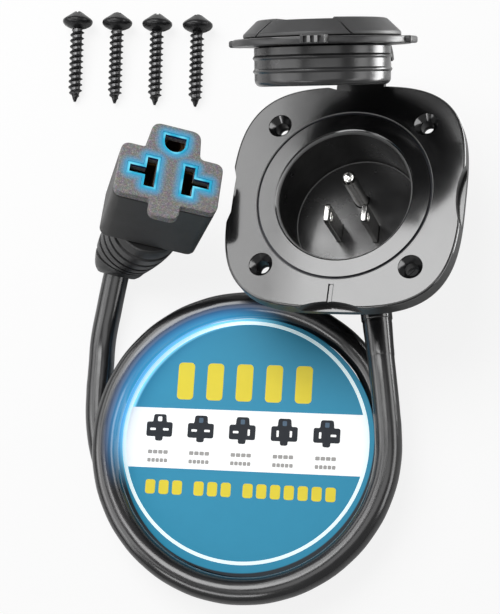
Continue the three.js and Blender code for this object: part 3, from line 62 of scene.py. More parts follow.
camera_data = bpy.data.cameras.new("camera")
camera_data.sensor_width = SENSOR_WIDTH
camera_data.lens = FOCAL_LENGTH_PX * SENSOR_WIDTH / PICTURE_HEIGHT_PX
camera_data.clip_start = 0.01
camera = bpy.data.objects.new("camera", camera_data)
bpy.context.scene.collection.objects.link(camera)
camera.matrix_world = look_matrix(CAMERA_AT, CAMERA_WAY, CAMERA_UP)
bpy.context.scene.camera = camera
colour = bpy.context.scene.view_settings
colour.view_transform = "Standard"
colour.look = "None"
colour.exposure = 0.0
colour.gamma = 1.0


# -------- frames
# Lengths are in millimetres and angles in degrees, but shader distances, face centres and
# the sides of lamps are in metres, as Blender has them
FACE_REACH = 47.04
OUTLET_HEIGHT = 12.6
OUTLET_RISE = 2.4
OUTLET_YAW = 5.27
HINGE_Y, HINGE_Z = 50.0, -6.0
CAP_OPEN = 62
WORLD = Matrix.Identity(4)


def leaned(lean, towards, roll):
    """A turn about its own axis, then a lean of that axis towards a bearing."""
    a = math.radians(towards)
    axis = Vector((-math.sin(a), math.cos(a), 0))
    turn = Quaternion(axis, math.radians(lean))
    return turn @ Quaternion((0, 0, 1), math.radians(roll))


def place(at, turn):
    m = turn.to_matrix().to_4x4()
    m.translation = Vector(at) * MM
    return m


def shifted(matrix, x, y, z):
    return matrix @ Matrix.Translation(Vector((x, y, z)) * MM)


def crosswise(matrix, x, y, z):
    """A frame at a point of another one, with its Z axis laid along the other's X axis."""
    return shifted(matrix, x, y, z) @ Matrix.Rotation(math.pi / 2, 4, "Y")


inlet_turn = leaned(lean=10.84, towards=124.5, roll=-5.77)
inlet_axis = inlet_turn @ Vector((0, 0, 1))
INLET = place(inlet_axis * FACE_REACH, inlet_turn)
cap_turn = Matrix.Rotation(math.radians(-CAP_OPEN), 4, "X")
CAP = shifted(shifted(INLET, 0, HINGE_Y, HINGE_Z) @ cap_turn, 0, -HINGE_Y, -HINGE_Z)
CONNECTOR = place((-60.25, 12.86, 59.0), leaned(lean=29.65, towards=27.25, roll=-7.47))
rise, yaw = math.radians(OUTLET_RISE), math.radians(OUTLET_YAW)
outlet_way = Vector(
    (math.cos(rise) * math.sin(yaw), -math.cos(rise) * math.cos(yaw), math.sin(rise))
)
outlet_at = inlet_axis * (OUTLET_HEIGHT / inlet_axis.z)
OUTLET = place(outlet_at, Vector((0, 0, 1)).rotation_difference(outlet_way))


# -------- materials
class Nodes:
    """A short way to add shader nodes and link them."""

    def __init__(self, name):
        self.mat = bpy.data.materials.new(name)
        self.mat.use_nodes = True
        self.tree = self.mat.node_tree
        self.bsdf = self.tree.nodes["Principled BSDF"]
        self.coord = self.tree.nodes.new("ShaderNodeTexCoord").outputs["Object"]

    def put(self, socket, value):
        if isinstance(value, bpy.types.NodeSocket):
            self.tree.links.new(value, socket)
        else:
            socket.default_value = value

    def math(self, op, *values):
        n = self.tree.nodes.new("ShaderNodeMath")
        n.operation = op
        for i, v in enumerate(values):
            self.put(n.inputs[i], v)
        return n.outputs[0]

    def vec(self, op, *values, out=0):
        n = self.tree.nodes.new("ShaderNodeVectorMath")
        n.operation = op
        for i, v in enumerate(values):
            self.put(n.inputs[i], v)
        return n.outputs[out]

    def noise(self, scale, detail=3.0, rough=0.55, out="Fac"):
        n = self.tree.nodes.new("ShaderNodeTexNoise")
        n.inputs["Scale"].default_value = scale
        n.inputs["Detail"].default_value = detail
        n.inputs["Roughness"].default_value = rough
        self.put(n.inputs["Vector"], self.coord)
        return n.outputs[out]

    def range(self, value, a, b, to_a, to_b, smooth=False):
        n = self.tree.nodes.new("ShaderNodeMapRange")
        if smooth:
            n.interpolation_type = "SMOOTHSTEP"
        for i, v in enumerate((value, a, b, to_a, to_b)):
            self.put(n.inputs[i], v)
        return n.outputs[0]

    def mix(self, factor, a, b):
        n = self.tree.nodes.new("ShaderNodeMix")
        n.data_type = "RGBA"
        self.put(n.inputs[0], factor)
        self.put(n.inputs[6], (*a, 1) if isinstance(a, tuple) else a)
        self.put(n.inputs[7], (*b, 1) if isinstance(b, tuple) else b)
        return n.outputs[2]

    def bump(self, height, distance):
        n = self.tree.nodes.new("ShaderNodeBump")
        n.inputs["Strength"].default_value = 1.0
        n.inputs["Distance"].default_value = distance
        self.put(n.inputs["Height"], height)
        self.put(self.bsdf.inputs["Normal"], n.outputs[0])

    def set(self, **values):
        for key, value in values.items():
            socket = self.bsdf.inputs[key.replace("_", " ")]
            if isinstance(value, tuple) and len(value) == 3:
                value = (*value, 1)
            self.put(socket, value)


def plastic(name, color, rough, grain, grain_scale=1500, vary=0.25, rough_vary=0.06,
            metallic=0.0, spec=0.5):
    """Moulded plastic, rubber or metal: a little mottling, uneven gloss and fine grain."""
    m = Nodes(name)
    low = tuple(c * (1 - vary) for c in color)
    high = tuple(c * (1 + vary) for c in color)
    m.set(Base_Color=m.mix(m.noise(160, 4), low, high))
    m.set(Metallic=metallic, Specular_IOR_Level=spec)
    m.set(Roughness=m.range(m.noise(90, 5), 0.3, 0.7, rough - rough_vary, rough + rough_vary))
    m.bump(m.noise(grain_scale, 4), grain)
    return m.mat


MATTE_BLACK = plastic("matte_black", (0.020, 0.020, 0.021), 0.42, 0.00004, 1800)
CAP_GREY = plastic("cap_grey", (0.045, 0.045, 0.046), 0.46, 0.00004, 2000)
CAP_RUBBER = plastic("cap_rubber", (0.040, 0.040, 0.041), 0.25, 0.00002, 1500)
# Painted highlight: a pale grey put on lips, chamfers and latch bars where light would catch them
HIGHLIGHT_GREY = plastic("painted_highlight_edge", (0.23, 0.23, 0.23), 0.45, 0.00001, 1500)
RUBBER = plastic("rubber_black", (0.024, 0.024, 0.025), 0.36, 0.00003, 1600)
BODY_GREY = plastic("connector_grey", (0.029, 0.028, 0.028), 0.50, 0.00005, 2200)
# Painted shade: near-black for down in the flange's groove and inside the connector's hollow body
SHADE_DARK = plastic("painted_shade_dark", (0.004, 0.005, 0.012), 0.60, 0.00002, 1500)
# Painted shade: a darker copy of the brass for the contacts deep inside the connector
SHADED_BRASS = plastic("brass_painted_shade", (0.10, 0.055, 0.022), 0.45, 0.000006, 900, 0.3,
                     metallic=1.0)
SCREW_BLACK = plastic("screw_black", (0.012, 0.012, 0.013), 0.28, 0.00001, 1500, 0.3, spec=0.3)
SHANK_GREY = plastic("shank_grey", (0.11, 0.11, 0.112), 0.36, 0.00001, 1500, 0.2,
                     metallic=0.9)
NICKEL = plastic("nickel", (0.80, 0.79, 0.77), 0.18, 0.000004, 900, 0.06, 0.05, metallic=1.0)
BRASS = plastic("brass", (0.72, 0.53, 0.25), 0.28, 0.000006, 900, 0.12, metallic=1.0)
WHITE_WIRE = plastic("white_wire", (0.75, 0.75, 0.72), 0.45, 0.00001)
GREEN_WIRE = plastic("green_wire", (0.04, 0.24, 0.07), 0.45, 0.00001)
BLACK_WIRE = plastic("black_wire", (0.02, 0.02, 0.02), 0.45, 0.00001)
CARRIER_BLACK = plastic("carrier_black", (0.012, 0.012, 0.0125), 0.24, 0.00001, spec=1.0)
WALL_BLACK = plastic("wall_black", (0.014, 0.014, 0.0145), 0.34, 0.00003, 700, 0.5, 0.10)
SIDE_BLACK = plastic("side_black", (0.008, 0.008, 0.0085), 0.38, 0.00001, 1200, 0.2, 0.05)
GASKET = plastic("gasket_foam", (0.018, 0.018, 0.018), 0.75, 0.00012, 2600)
YELLOW = plastic("print_yellow", (0.90, 0.74, 0.030), 0.50, 0.000002, 900, 0.05, 0.03,
                 spec=0.3)
INK = plastic("print_ink", (0.014, 0.018, 0.025), 0.55, 0.000002, 900, 0.1, 0.03, spec=0.2)
SOFT_INK = plastic("print_slate", (0.09, 0.15, 0.22), 0.55, 0.000002, 900, 0.1, 0.03,
                   spec=0.2)
PALE_INK = plastic("print_grey", (0.36, 0.35, 0.34), 0.40, 0.000002, 900, 0.1, 0.03)


def flange_material():
    """The polished face of the flange: deep black with a high gloss."""
    m = Nodes("gloss_black")
    m.set(Base_Color=m.mix(m.noise(160, 4), (0.006, 0.006, 0.0065), (0.010, 0.010, 0.0105)))
    m.set(Roughness=m.range(m.noise(70, 4), 0.3, 0.7, 0.10, 0.15), Specular_IOR_Level=1.0)
    m.bump(m.noise(500, 3), 0.000004)
    return m.mat


# -------- print and its painted glowing edge
DARK = (0.0, 0.0, 0.0)
# Painted shade: dark blue-black for the card beyond the print and for the halo away from the glow
CARD_SHADE = (0.010, 0.018, 0.026)
# The way from the middle to the side where the glow is painted
LIT_WAY = (-0.707, 0.707, 0)
PRINT_SHIFT = (-1.5, 2.2)
PRINT_MARGIN = 45.2
COIL_AT = (-44.5, -70.1)


def flat_from(m, cx=0.0, cy=0.0):
    """Millimetres from a point of the piece's XY plane, as a flat vector."""
    away = m.vec("SUBTRACT", m.coord, (cx * MM, cy * MM, 0))
    return m.vec("MULTIPLY", away, (1000, 1000, 0))


def glow_side(m, cx=0.0, cy=0.0):
    """Distance from the coil's middle, and how far a point is on the upper left, where the glow is
    painted.
    """
    flat = flat_from(m, cx, cy)
    reach = m.vec("LENGTH", flat, out=1)
    along = m.vec("DOT_PRODUCT", m.vec("NORMALIZE", flat), LIT_WAY, out=1)
    return reach, m.range(along, 0.42, 0.88, 0.0, 1.0, smooth=True)


def cord_material():
    """Glossy vinyl jacket, slightly wavy, with a painted blue sheen, as emission, beside the
    label's painted glowing edge.
    """
    m = Nodes("cord_jacket")
    m.set(Base_Color=m.mix(m.noise(120, 3), (0.010, 0.010, 0.011), (0.016, 0.016, 0.017)))
    m.set(Roughness=m.range(m.noise(60, 4), 0.3, 0.7, 0.17, 0.25), Specular_IOR_Level=0.8)
    # Painted sheen: blue emission on the coil's inner side at the upper left
    reach, side = glow_side(m, *COIL_AT)
    sheen = m.math("MULTIPLY", side, m.range(reach, 45.6, 50.3, 1.0, 0.0, smooth=True))
    far = m.range(reach, 45.6, 48.2, 0.0, 1.0)
    tone = m.mix(far, (0.045, 0.31, 0.60), (0.012, 0.12, 0.36))
    m.set(Emission_Color=m.mix(sheen, DARK, tone))
    m.set(Emission_Strength=0.9)
    m.bump(m.noise(500, 2), 0.000006)
    return m.mat


def card_material():
    """Printed teal with a painted cyan glow, nearly white, along the edge at the upper left, and
    painted shade on the card beyond the print's edge.
    """
    m = Nodes("print_teal")
    reach, side = glow_side(m)
    edge = m.math("MULTIPLY", side, m.range(reach, 42.1, 43.4, 0.0, 1.0, smooth=True))
    teal = m.mix(m.noise(160, 4), (0.010, 0.285, 0.48), (0.013, 0.305, 0.51))
    # Painted shade on the card beyond the print's edge, and painted glow along the upper left edge
    from_print = m.vec("LENGTH", flat_from(m, *PRINT_SHIFT), out=1)
    shade_rim = m.range(from_print, PRINT_MARGIN, PRINT_MARGIN + 0.4, 0.0, 1.0)
    m.set(Base_Color=m.mix(shade_rim, teal, CARD_SHADE))
    m.set(Emission_Color=m.mix(edge, DARK, (0.30, 0.80, 1.0)))
    m.set(Emission_Strength=0.85, Roughness=0.50, Specular_IOR_Level=0.3)
    return m.mat


def ring_material():
    """The white line round the print, with a painted cyan glow all round that is brighter on the
    upper left.
    """
    m = Nodes("print_ring")
    _, side = glow_side(m)
    m.set(Base_Color=m.mix(m.noise(160, 4), (0.96, 0.97, 0.97), (0.98, 0.99, 0.99)))
    # Painted glow: faint cyan emission all round, brighter on the upper left
    m.set(Emission_Color=m.mix(side, (0.16, 0.38, 0.42), (0.55, 0.85, 1.0)))
    m.set(Emission_Strength=0.6, Roughness=0.5, Specular_IOR_Level=0.3)
    return m.mat


def paper_material():
    """The white band of the print, with a painted glow that makes it as bright as in strong studio
    light.
    """
    m = Nodes("print_white")
    mottle = m.noise(160, 4)
    m.set(Base_Color=m.mix(mottle, (0.95, 0.96, 0.96), (0.98, 0.99, 0.99)))
    # Painted glow: white emission over the base colour
    m.set(Emission_Color=m.mix(mottle, (0.96, 0.97, 0.96), (1.0, 1.0, 0.98)))
    m.set(Emission_Strength=0.22, Roughness=0.5, Specular_IOR_Level=0.3)
    return m.mat


def halo_material():
    """A painted glow spilling from the card's edge under the cord, cyan then blue, with painted
    shade where the edge is not lit.
    """
    m = Nodes("cyan_halo")
    reach, side = glow_side(m)
    far = m.range(reach, 44.2, 46.8, 0.0, 1.0)
    tone = m.mix(far, (0.28, 0.78, 1.0), (0.02, 0.16, 0.55))
    # Painted shade away from the glow, and painted cyan-to-blue glow on the lit side
    m.set(Base_Color=m.mix(side, CARD_SHADE, (0.03, 0.30, 0.60)), Roughness=0.5)
    m.set(Emission_Color=m.mix(side, DARK, tone), Emission_Strength=0.85)
    return m.mat


GLOSS_BLACK = flange_material()
TEAL = card_material()
HALO = halo_material()
RING_WHITE = ring_material()
PAPER = paper_material()
CORD = cord_material()

# -------- connector's face
# The slots as boxes, each a centre and half sizes, and the round end of the ground slot
TEE_IN, TEE_STEM, TEE_OUT = 4.55, 8.05, 13.4
TEE_HALF_ARM, TEE_HALF = 1.4, 5.5
DEE_RADIUS, DEE_MIDDLE, DEE_TOP = 3.6, 13.2, 15.6
SLOT_BOXES = [
    ((-6.3, 0), (1.75, TEE_HALF)),
    ((-9.9, 0), (3.5, TEE_HALF_ARM)),
    ((6.3, 0), (1.75, TEE_HALF)),
    ((9.9, 0), (3.5, TEE_HALF_ARM)),
    ((0, 14.4), (DEE_RADIUS, 1.2)),
]
FAR = 1000


def slot_distance(m):
    """Distance in millimetres from the nearest slot's edge, measured on the face."""
    flat = flat_from(m)
    found = []
    for (cx, cy), (hx, hy) in SLOT_BOXES:
        away = m.vec("ABSOLUTE", m.vec("SUBTRACT", flat, (cx, cy, 0)))
        out = m.vec("MAXIMUM", m.vec("SUBTRACT", away, (hx, hy, 0)), (0, 0, 0))
        found.append(m.vec("LENGTH", out, out=1))
    from_round = m.vec("SUBTRACT", flat, (0, DEE_MIDDLE, 0))
    below = m.vec("MINIMUM", from_round, (FAR, 0, 0))
    above = m.vec("MAXIMUM", from_round, (-FAR, 0, 0))
    rest = m.math("SUBTRACT", m.vec("LENGTH", below, out=1), DEE_RADIUS)
    rise = m.vec("DOT_PRODUCT", above, (0, 1, 0), out=1)
    found.append(m.math("ADD", m.math("MAXIMUM", rest, 0.0), rise))
    least = found[0]
    for one in found[1:]:
        least = m.math("MINIMUM", least, one)
    return least


def depth_share(m, low, high):
    """0 below one depth under the face and 1 above the other, both in metres."""
    return m.range(m.vec("DOT_PRODUCT", m.coord, (0, 0, 1), out=1), low, high, 0.0, 1.0)


def face_material():
    """Grainy speckled grey, with a painted cyan glow, in colour and emission, spilling out of the
    slots' rims.
    """
    m = Nodes("speckled_grey")
    fine = m.range(m.noise(2600, 2, 0.7), 0.42, 0.6, 0.0, 1.0)
    coarse = m.range(m.noise(1300, 3, 0.7), 0.5, 0.68, 0.0, 1.0)
    grey = m.mix(fine, (0.070, 0.066, 0.065), (0.19, 0.18, 0.18))
    grey = m.mix(coarse, grey, (0.31, 0.28, 0.27))
    tint = m.noise(900, 1, 0.5, out="Color")
    grey = m.mix(0.16, grey, tint)
    front = depth_share(m, -0.0006, -0.0002)
    # Painted glow round the slots, in colour and emission
    glow = m.range(slot_distance(m), 0.5, 3.9, 1.0, 0.0, smooth=True)
    glow = m.math("MULTIPLY", glow, front)
    m.set(Base_Color=m.mix(m.math("MULTIPLY", glow, 0.85), grey, (0.02, 0.26, 0.48)))
    m.set(Emission_Color=m.mix(glow, DARK, (0.006, 0.19, 0.32)))
    m.set(Emission_Strength=0.60, Roughness=0.62)
    m.bump(m.noise(1900, 3), 0.00012)
    return m.mat


def rim_material():
    """Cyan on the rim's face with a painted glow, paler in patches, and painted shade in navy down
    inside the slot.
    """
    m = Nodes("cyan_rim")
    near = m.range(slot_distance(m), 0.0, 0.9, 1.0, 0.25, smooth=True)
    patch = m.range(m.noise(170, 1), 0.45, 0.62, 0.0, 1.0)
    front = depth_share(m, -0.0004, -0.0001)
    # Painted glow on the rim's face, and painted shade down inside the slot
    glow = m.mix(near, (0.006, 0.12, 0.22), (0.012, 0.27, 0.42))
    lit = m.mix(m.math("MULTIPLY", near, patch), glow, (0.28, 0.78, 0.92))
    m.set(Base_Color=m.mix(front, (0.006, 0.012, 0.070), (0.02, 0.30, 0.46)))
    m.set(Emission_Color=m.mix(front, (0.001, 0.003, 0.025), lit))
    m.set(Emission_Strength=0.7, Roughness=0.35)
    return m.mat


FACE = face_material()
RIM = rim_material()


# -------- mesh helpers
def new_object(name, data, matrix):
    obj = bpy.data.objects.new(name, data)
    bpy.context.scene.collection.objects.link(obj)
    obj.matrix_world = matrix
    return obj


def mesh_object(name, verts, faces, matrix=WORLD):
    """A mesh from points in millimetres, in the frame that matrix gives."""
    data = bpy.data.meshes.new(name)
    data.from_pydata([tuple(c * MM for c in v) for v in verts], [], faces)
    bm = bmesh.new()
    bm.from_mesh(data)
    bmesh.ops.remove_doubles(bm, verts=bm.verts, dist=1e-7)
    bmesh.ops.recalc_face_normals(bm, faces=bm.faces)
    bm.to_mesh(data)
    bm.free()
    return new_object(name, data, matrix)


def loft_data(rings, cap=True, close=False):
    """Points and faces of a skin over rings of equal count, closed into a loop on request."""
    count = len(rings[0])
    verts = [tuple(p) for ring in rings for p in ring]
    faces = []
    last = len(rings) if close else len(rings) - 1
    for r in range(last):
        a0, b0 = r * count, ((r + 1) % len(rings)) * count
        for i in range(count):
            j = (i + 1) % count
            faces.append((a0 + i, a0 + j, b0 + j, b0 + i))
    if cap and not close:
        faces.append(tuple(range(count)))
        faces.append(tuple(range((len(rings) - 1) * count, len(rings) * count)))
    return verts, faces


def loft(name, rings, matrix=WORLD, cap=True, close=False):
    return mesh_object(name, *loft_data(rings, cap, close), matrix)


def circle(radius, z, count=64, x=0.0, y=0.0):
    return [
        (x + radius * math.cos(TAU * i / count), y + radius * math.sin(TAU * i / count), z)
        for i in range(count)
    ]


def quarter(steps, first=0):
    """Cosines and sines in equal steps over a quarter turn."""
    turns = (math.pi / 2 * k / steps for k in range(first, steps + 1))
    return [(math.cos(a), math.sin(a)) for a in turns]


def lathe(name, profile, matrix=WORLD, count=96, close=False, x=0.0, y=0.0):
    """A turned piece from radius and height pairs, about the Z axis or one beside it."""
    rings = [circle(max(r, 1e-4), z, count, x, y) for r, z in profile]
    return loft(name, rings, matrix, close=close)


def box(name, x0, x1, y0, y1, z0, z1, matrix=WORLD):
    ring = lambda z: [(x0, y0, z), (x1, y0, z), (x1, y1, z), (x0, y1, z)]
    return loft(name, [ring(z0), ring(z1)], matrix)


def bake(obj):
    """Applies the modifiers of a piece."""
    bpy.context.view_layer.update()
    graph = bpy.context.evaluated_depsgraph_get()
    data = bpy.data.meshes.new_from_object(obj.evaluated_get(graph))
    obj.modifiers.clear()
    obj.data = data
    return obj


def combine(obj, tools, operation="DIFFERENCE"):
    """Cuts the tools from a piece or joins them to it, and removes them."""
    for tool in tools:
        mod = obj.modifiers.new("cut", "BOOLEAN")
        mod.operation = operation
        mod.solver = "EXACT"
        mod.object = tool
    bake(obj)
    for tool in tools:
        bpy.data.objects.remove(tool)
    return obj


def soften(obj, width, segments=3, angle=32):
    """Rounds the sharp edges of a piece, by a width in millimetres."""
    mod = obj.modifiers.new("edge", "BEVEL")
    mod.width = width * MM
    mod.segments = segments
    mod.limit_method = "ANGLE"
    mod.angle_limit = math.radians(angle)
    mod.use_clamp_overlap = True
    return bake(obj)


def smooth(obj, angle):
    """Smooth shading, with edges left sharp from an angle up."""
    bm = bmesh.new()
    bm.from_mesh(obj.data)
    limit = math.radians(angle)
    for face in bm.faces:
        face.smooth = True
    for edge in bm.edges:
        edge.smooth = len(edge.link_faces) == 2 and edge.calc_face_angle(0) < limit
    bm.to_mesh(obj.data)
    bm.free()


def finish(obj, mat, body, replaces=(), angle=38):
    """Gives a piece its looks, the body it rides on and the nodes it replaces."""
    obj.data.materials.clear()
    obj.data.materials.append(mat)
    if obj.type == "MESH":
        smooth(obj, angle)
        even = obj.modifiers.new("even", "WEIGHTED_NORMAL")
        even.mode = "FACE_AREA"
        even.weight = 100
        even.keep_sharp = True
    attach(obj, body)
    if replaces:
        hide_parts(*replaces)


def repaint(obj, mat, chosen):
    """Gives a second material to the faces that a test picks."""
    obj.data.materials.append(mat)
    for face in obj.data.polygons:
        if chosen(face):
            face.material_index = 1


# -------- cord
CORD_RADIUS = 4.6
COIL_RADIUS = 46.2
COIL_START, COIL_END = 158, 725
COIL_STEPS = 42
RELIEF_LENGTH = 42.0
CORD_END = Vector((-92.7, -7.6, 8.6))
CORD_END_WAY = Vector((-0.26, -0.95, -0.17))


def ease(t):
    """A smooth step from 0 to 1."""
    t = min(1.0, max(0.0, t))
    return t * t * (3 - 2 * t)


def coil_height(angle):
    """The first turn lies on the floor, and the second climbs onto it."""
    return 4.7 + 9.7 * ease((angle - 380) / 132)


def coil_point(angle):
    """The middle of the cord at an angle of the coil, from its outer end inwards."""
    spread = 1 - min(1.0, (angle - COIL_START) / 81)
    radius = COIL_RADIUS + 13.0 * spread**2 + 3.1 * ease((angle - 360) / 36)
    a = math.radians(angle)
    x, y = COIL_AT
    return Vector((x + radius * math.cos(a), y + radius * math.sin(a), coil_height(angle)))


def cord_route():
    """Knots of the cord from the inlet's relief, round the coil, to the connector's."""
    exit_at = outlet_at + outlet_way * RELIEF_LENGTH
    start = [exit_at, exit_at + outlet_way * 3]
    last = coil_point(COIL_END)
    away = (last - coil_point(COIL_END - 1.9)).normalized()
    start += [last + away * 9.0, last + away * 4.5]
    sweep = COIL_END - COIL_START
    turns = [coil_point(COIL_END - sweep * i / COIL_STEPS) for i in range(COIL_STEPS + 1)]
    first = coil_point(COIL_START)
    away = (first - coil_point(COIL_START + 1.9)).normalized()
    end_way = CORD_END_WAY.normalized()
    tail = [first + away * 4.5, first + away * 9.0, Vector((-98.2, -30.5, 4.9))]
    tail += [Vector((-95.7, -19.4, 6.6)), CORD_END + end_way * 3, CORD_END - end_way * 2]
    return start + turns + tail


def make_cord():
    """One cord from end to end, for the three solids that it is split into."""
    points = cord_route()
    data = bpy.data.curves.new("cord", "CURVE")
    data.dimensions = "3D"
    data.bevel_depth = CORD_RADIUS * MM
    data.bevel_resolution = 8
    data.resolution_u = 8
    data.use_fill_caps = True
    spline = data.splines.new("BEZIER")
    spline.bezier_points.add(len(points) - 1)
    for knot, p in zip(spline.bezier_points, points):
        knot.co = p * MM
        knot.handle_left_type = knot.handle_right_type = "AUTO"
    obj = new_object("cord", data, WORLD)
    length = sum((b - a).length for a, b in zip(points, points[1:])) * MM
    finish(obj, CORD, "base",
           ("cord_lead_connector", "cord_coil", "cord_lead_inlet"))


make_cord()


# -------- flange
FLANGE_HALF = 39.6
FLANGE_BACK = -6.3
EDGE_ROUND = 0.9
SCALLOP_WIDTH, SCALLOP_DEPTH = 21.5, 2.2
HOLE_AT = 25.05
BARREL, BORE = 24.45, 22.25
LUG_IN, LUG_OUT = 5.3, 7.7
STRAP_HALF = 8.2


def square_ring(half, z, count=160, power=3.3):
    """A square outline with swelling sides and round corners."""
    ring = []
    for i in range(count):
        a = TAU * (i + 0.5) / count
        c, s = math.cos(a), math.sin(a)
        r = half / (abs(c) ** power + abs(s) ** power) ** (1 / power)
        ring.append((r * c, r * s, z))
    return ring


def paint_flange(flange):
    """Duller sides and recess, painted highlights on the pale lips and painted shade down in the
    groove, found by place.
    """
    for mat in (SIDE_BLACK, WALL_BLACK, HIGHLIGHT_GREY, SHADE_DARK):
        flange.data.materials.append(mat)
    side, wall, edge, deep = 1, 2, 3, 4
    for face in flange.data.polygons:
        at = face.center
        reach = math.hypot(at.x, at.y)
        if reach > 0.0243 and at.z < -0.0009 and face.normal.z < 0.5:
            face.material_index = side
        if reach < 0.0228 and at.z < -0.0016:
            face.material_index = wall
        # Painted highlight on the bore's and groove's lips, painted shade down in the groove
        bore_lip = 0.0223 < reach < 0.0229 and -0.0016 < at.z
        groove_lip = 0.0296 < reach < 0.0303 and at.z > -0.0006 and face.normal.z < 0.96
        if bore_lip or groove_lip:
            face.material_index = edge
        elif 0.02875 < reach < 0.0297 and at.z < -0.0002:
            face.material_index = deep


def make_flange():
    """The square flange with scallops, hinge lugs, barrel, recess and screw holes."""
    rings = [square_ring(FLANGE_HALF, z) for z in (FLANGE_BACK, -3.7)]
    base = loft("flange", rings, INLET)
    soften(base, 0.35, 3)
    rings = [square_ring(FLANGE_HALF, z) for z in (-4.6, -EDGE_ROUND)]
    for c, s in quarter(6, 1):
        rings.append(square_ring(FLANGE_HALF - EDGE_ROUND * (1 - c), -EDGE_ROUND + EDGE_ROUND * s))
    top = loft("top", rings, INLET)
    r = (SCALLOP_WIDTH**2 / 4 + SCALLOP_DEPTH**2) / (2 * SCALLOP_DEPTH)
    far = FLANGE_HALF - SCALLOP_DEPTH + r
    tools = [
        lathe("scallop", [(r, -3.7), (r, 2)], INLET, 220, x=far * dx, y=far * dy)
        for dx, dy in ((1, 0), (-1, 0), (0, 1), (0, -1))
    ]
    combine(top, tools)
    soften(top, 0.3, 2, 50)
    parts = [top]
    for side in (-1, 1):
        x0, x1 = sorted((side * LUG_IN, side * LUG_OUT))
        eye = lathe("eye", [(2.1, x0), (2.1, x1)], crosswise(INLET, 0, HINGE_Y, HINGE_Z), 32)
        parts += [eye, box("web", x0, x1, 36.4, 50, FLANGE_BACK, -3.9, INLET)]
    parts.append(box("tab", -STRAP_HALF, STRAP_HALF, 36.4, 46.6, FLANGE_BACK, -3.9, INLET))
    parts.append(lathe("barrel", [(BARREL, -24.6), (BARREL, -5)], INLET))
    combine(base, parts, "UNION")
    cuts = [
        lathe("bore", [(BORE, -26), (BORE, -1.5), (22.6, -0.95), (22.95, -0.4), (24.1, 0.6)],
              INLET, 128),
        lathe("groove", [(28.85, 1), (28.85, -0.95), (29.6, -0.95), (29.6, -0.3), (30.5, 0.6),
                         (30.5, 1)], INLET, 160, close=True),
        box("witness", -1.0, 0.5, -41, -31.5, -0.25, 1, INLET),
        box("witness", -1.15, -0.5, -41, -31.4, -0.8, 1, INLET),
        box("witness", 0.42, 0.65, -41, -31.4, -0.8, 1, INLET),
    ]
    for x in (-HOLE_AT, HOLE_AT):
        for y in (-HOLE_AT, HOLE_AT):
            cuts.append(lathe("sink", [(2.2, -8), (2.2, -2.6), (4.05, -0.5), (4.05, 1)],
                              INLET, 40, x=x, y=y))
    combine(base, cuts)
    soften(base, 0.16, 2, 40)
    finish(base, GLOSS_BLACK, "base", ("flange_housing",), 42)
    paint_flange(base)


make_flange()


# -------- inside the recess
BLADE_AT = 6.35
PIN_RADIUS, PIN_Y = 2.4, 7.4
BLADE_SIDE = [(-7.675, -32.0), (-1.325, -32.0), (-1.325, -5.3), (-1.9, -4.55), (-2.6, -4.3),
              (-6.4, -4.3), (-7.1, -4.55), (-7.675, -5.3)]


def make_pins():
    """The two flat blades, each with its hole, and the round ground pin."""
    for x, node in ((-BLADE_AT, "line_blade"), (BLADE_AT, "neutral_blade")):
        rings = [[(cx, y, z) for y, z in BLADE_SIDE] for cx in (x - 0.8, x + 0.8)]
        blade = loft(node + "_look", rings, INLET)
        combine(blade, [lathe("hole", [(1.5, -2), (1.5, 2)], crosswise(INLET, x, -4.5, -8.3), 40)])
        soften(blade, 0.28, 3, 40)
        finish(blade, NICKEL, "base", (node,))
    profile = [(0, -32), (PIN_RADIUS, -32), (PIN_RADIUS, -4.0)]
    profile += [(PIN_RADIUS * c, -4.0 + PIN_RADIUS * s) for c, s in quarter(8, 1)]
    pin = lathe("ground_pin_look", profile, INLET, 48, y=PIN_Y)
    finish(pin, NICKEL, "base", ("ground_pin",))


def make_carrier():
    """The floor of the recess, with slots for the pins and two pilot holes."""
    rings = [circle(r, z, 96) for r, z in (
        (BARREL, -28.9), (BARREL, -24.9), (22.1, -24.9), (22.1, -22.1), (21.75, -22.5))]
    carrier = loft("carrier", rings, INLET)
    cuts = []
    for x in (-BLADE_AT, BLADE_AT):
        cuts.append(box("slot", x - 0.92, x + 0.92, -7.8, -1.2, -29.5, -22, INLET))
        cuts.append(lathe("pilot", [(1.6, -30), (1.6, -25.6)], INLET, 24,
                          x=math.copysign(13.2, x), y=2.0))
    cuts.append(lathe("hole", [(2.65, -29.5), (2.65, -22)], INLET, 40, y=PIN_Y))
    combine(carrier, cuts)
    soften(carrier, 0.12, 2, 50)
    finish(carrier, CARRIER_BLACK, "base", ("contact_carrier",))

    # Painted highlight: a pale grey ring on the floor's outer chamfer
    def outer_edge(face):
        reach = math.hypot(face.center.x, face.center.y)
        return reach > 0.0217 and face.center.z > -0.02249 and face.normal.z > 0.2

    repaint(carrier, HIGHLIGHT_GREY, outer_edge)


make_pins()
make_carrier()


# -------- relief at the inlet
def make_inlet_relief():
    """A relief with two ribs at its root, tapering to the cord without a step."""
    low, high, ribs = 24.6, 43.7, 5
    profile = [(0, 19.9), (5.5, 19.9), (5.8, 20.2), (5.8, 21.4), (5.5, 21.7), (4.9, 21.7),
               (4.9, low)]
    length = (high - low) / ribs
    for i in range(ribs):
        r = 5.5 + (4.775 - 5.5) * i / ribs
        z = low + length * i
        if i > 1:
            profile.append((r - 0.15, z))
            continue
        profile += [(r - 0.15, z), (r, z + 0.15), (r - 0.02, z + length * 0.6)]
        profile += [(r - 0.12, z + length * 0.66), (r - 0.33, z + length * 0.7)]
        profile += [(r - 0.33, z + length * 0.96)]
    profile += [(4.75, RELIEF_LENGTH), (4.70, 43.5), (4.62, high), (0, high)]
    relief = lathe("inlet_relief", profile, OUTLET, 64)
    finish(relief, CORD, "base", ("inlet_strain_relief",), 50)


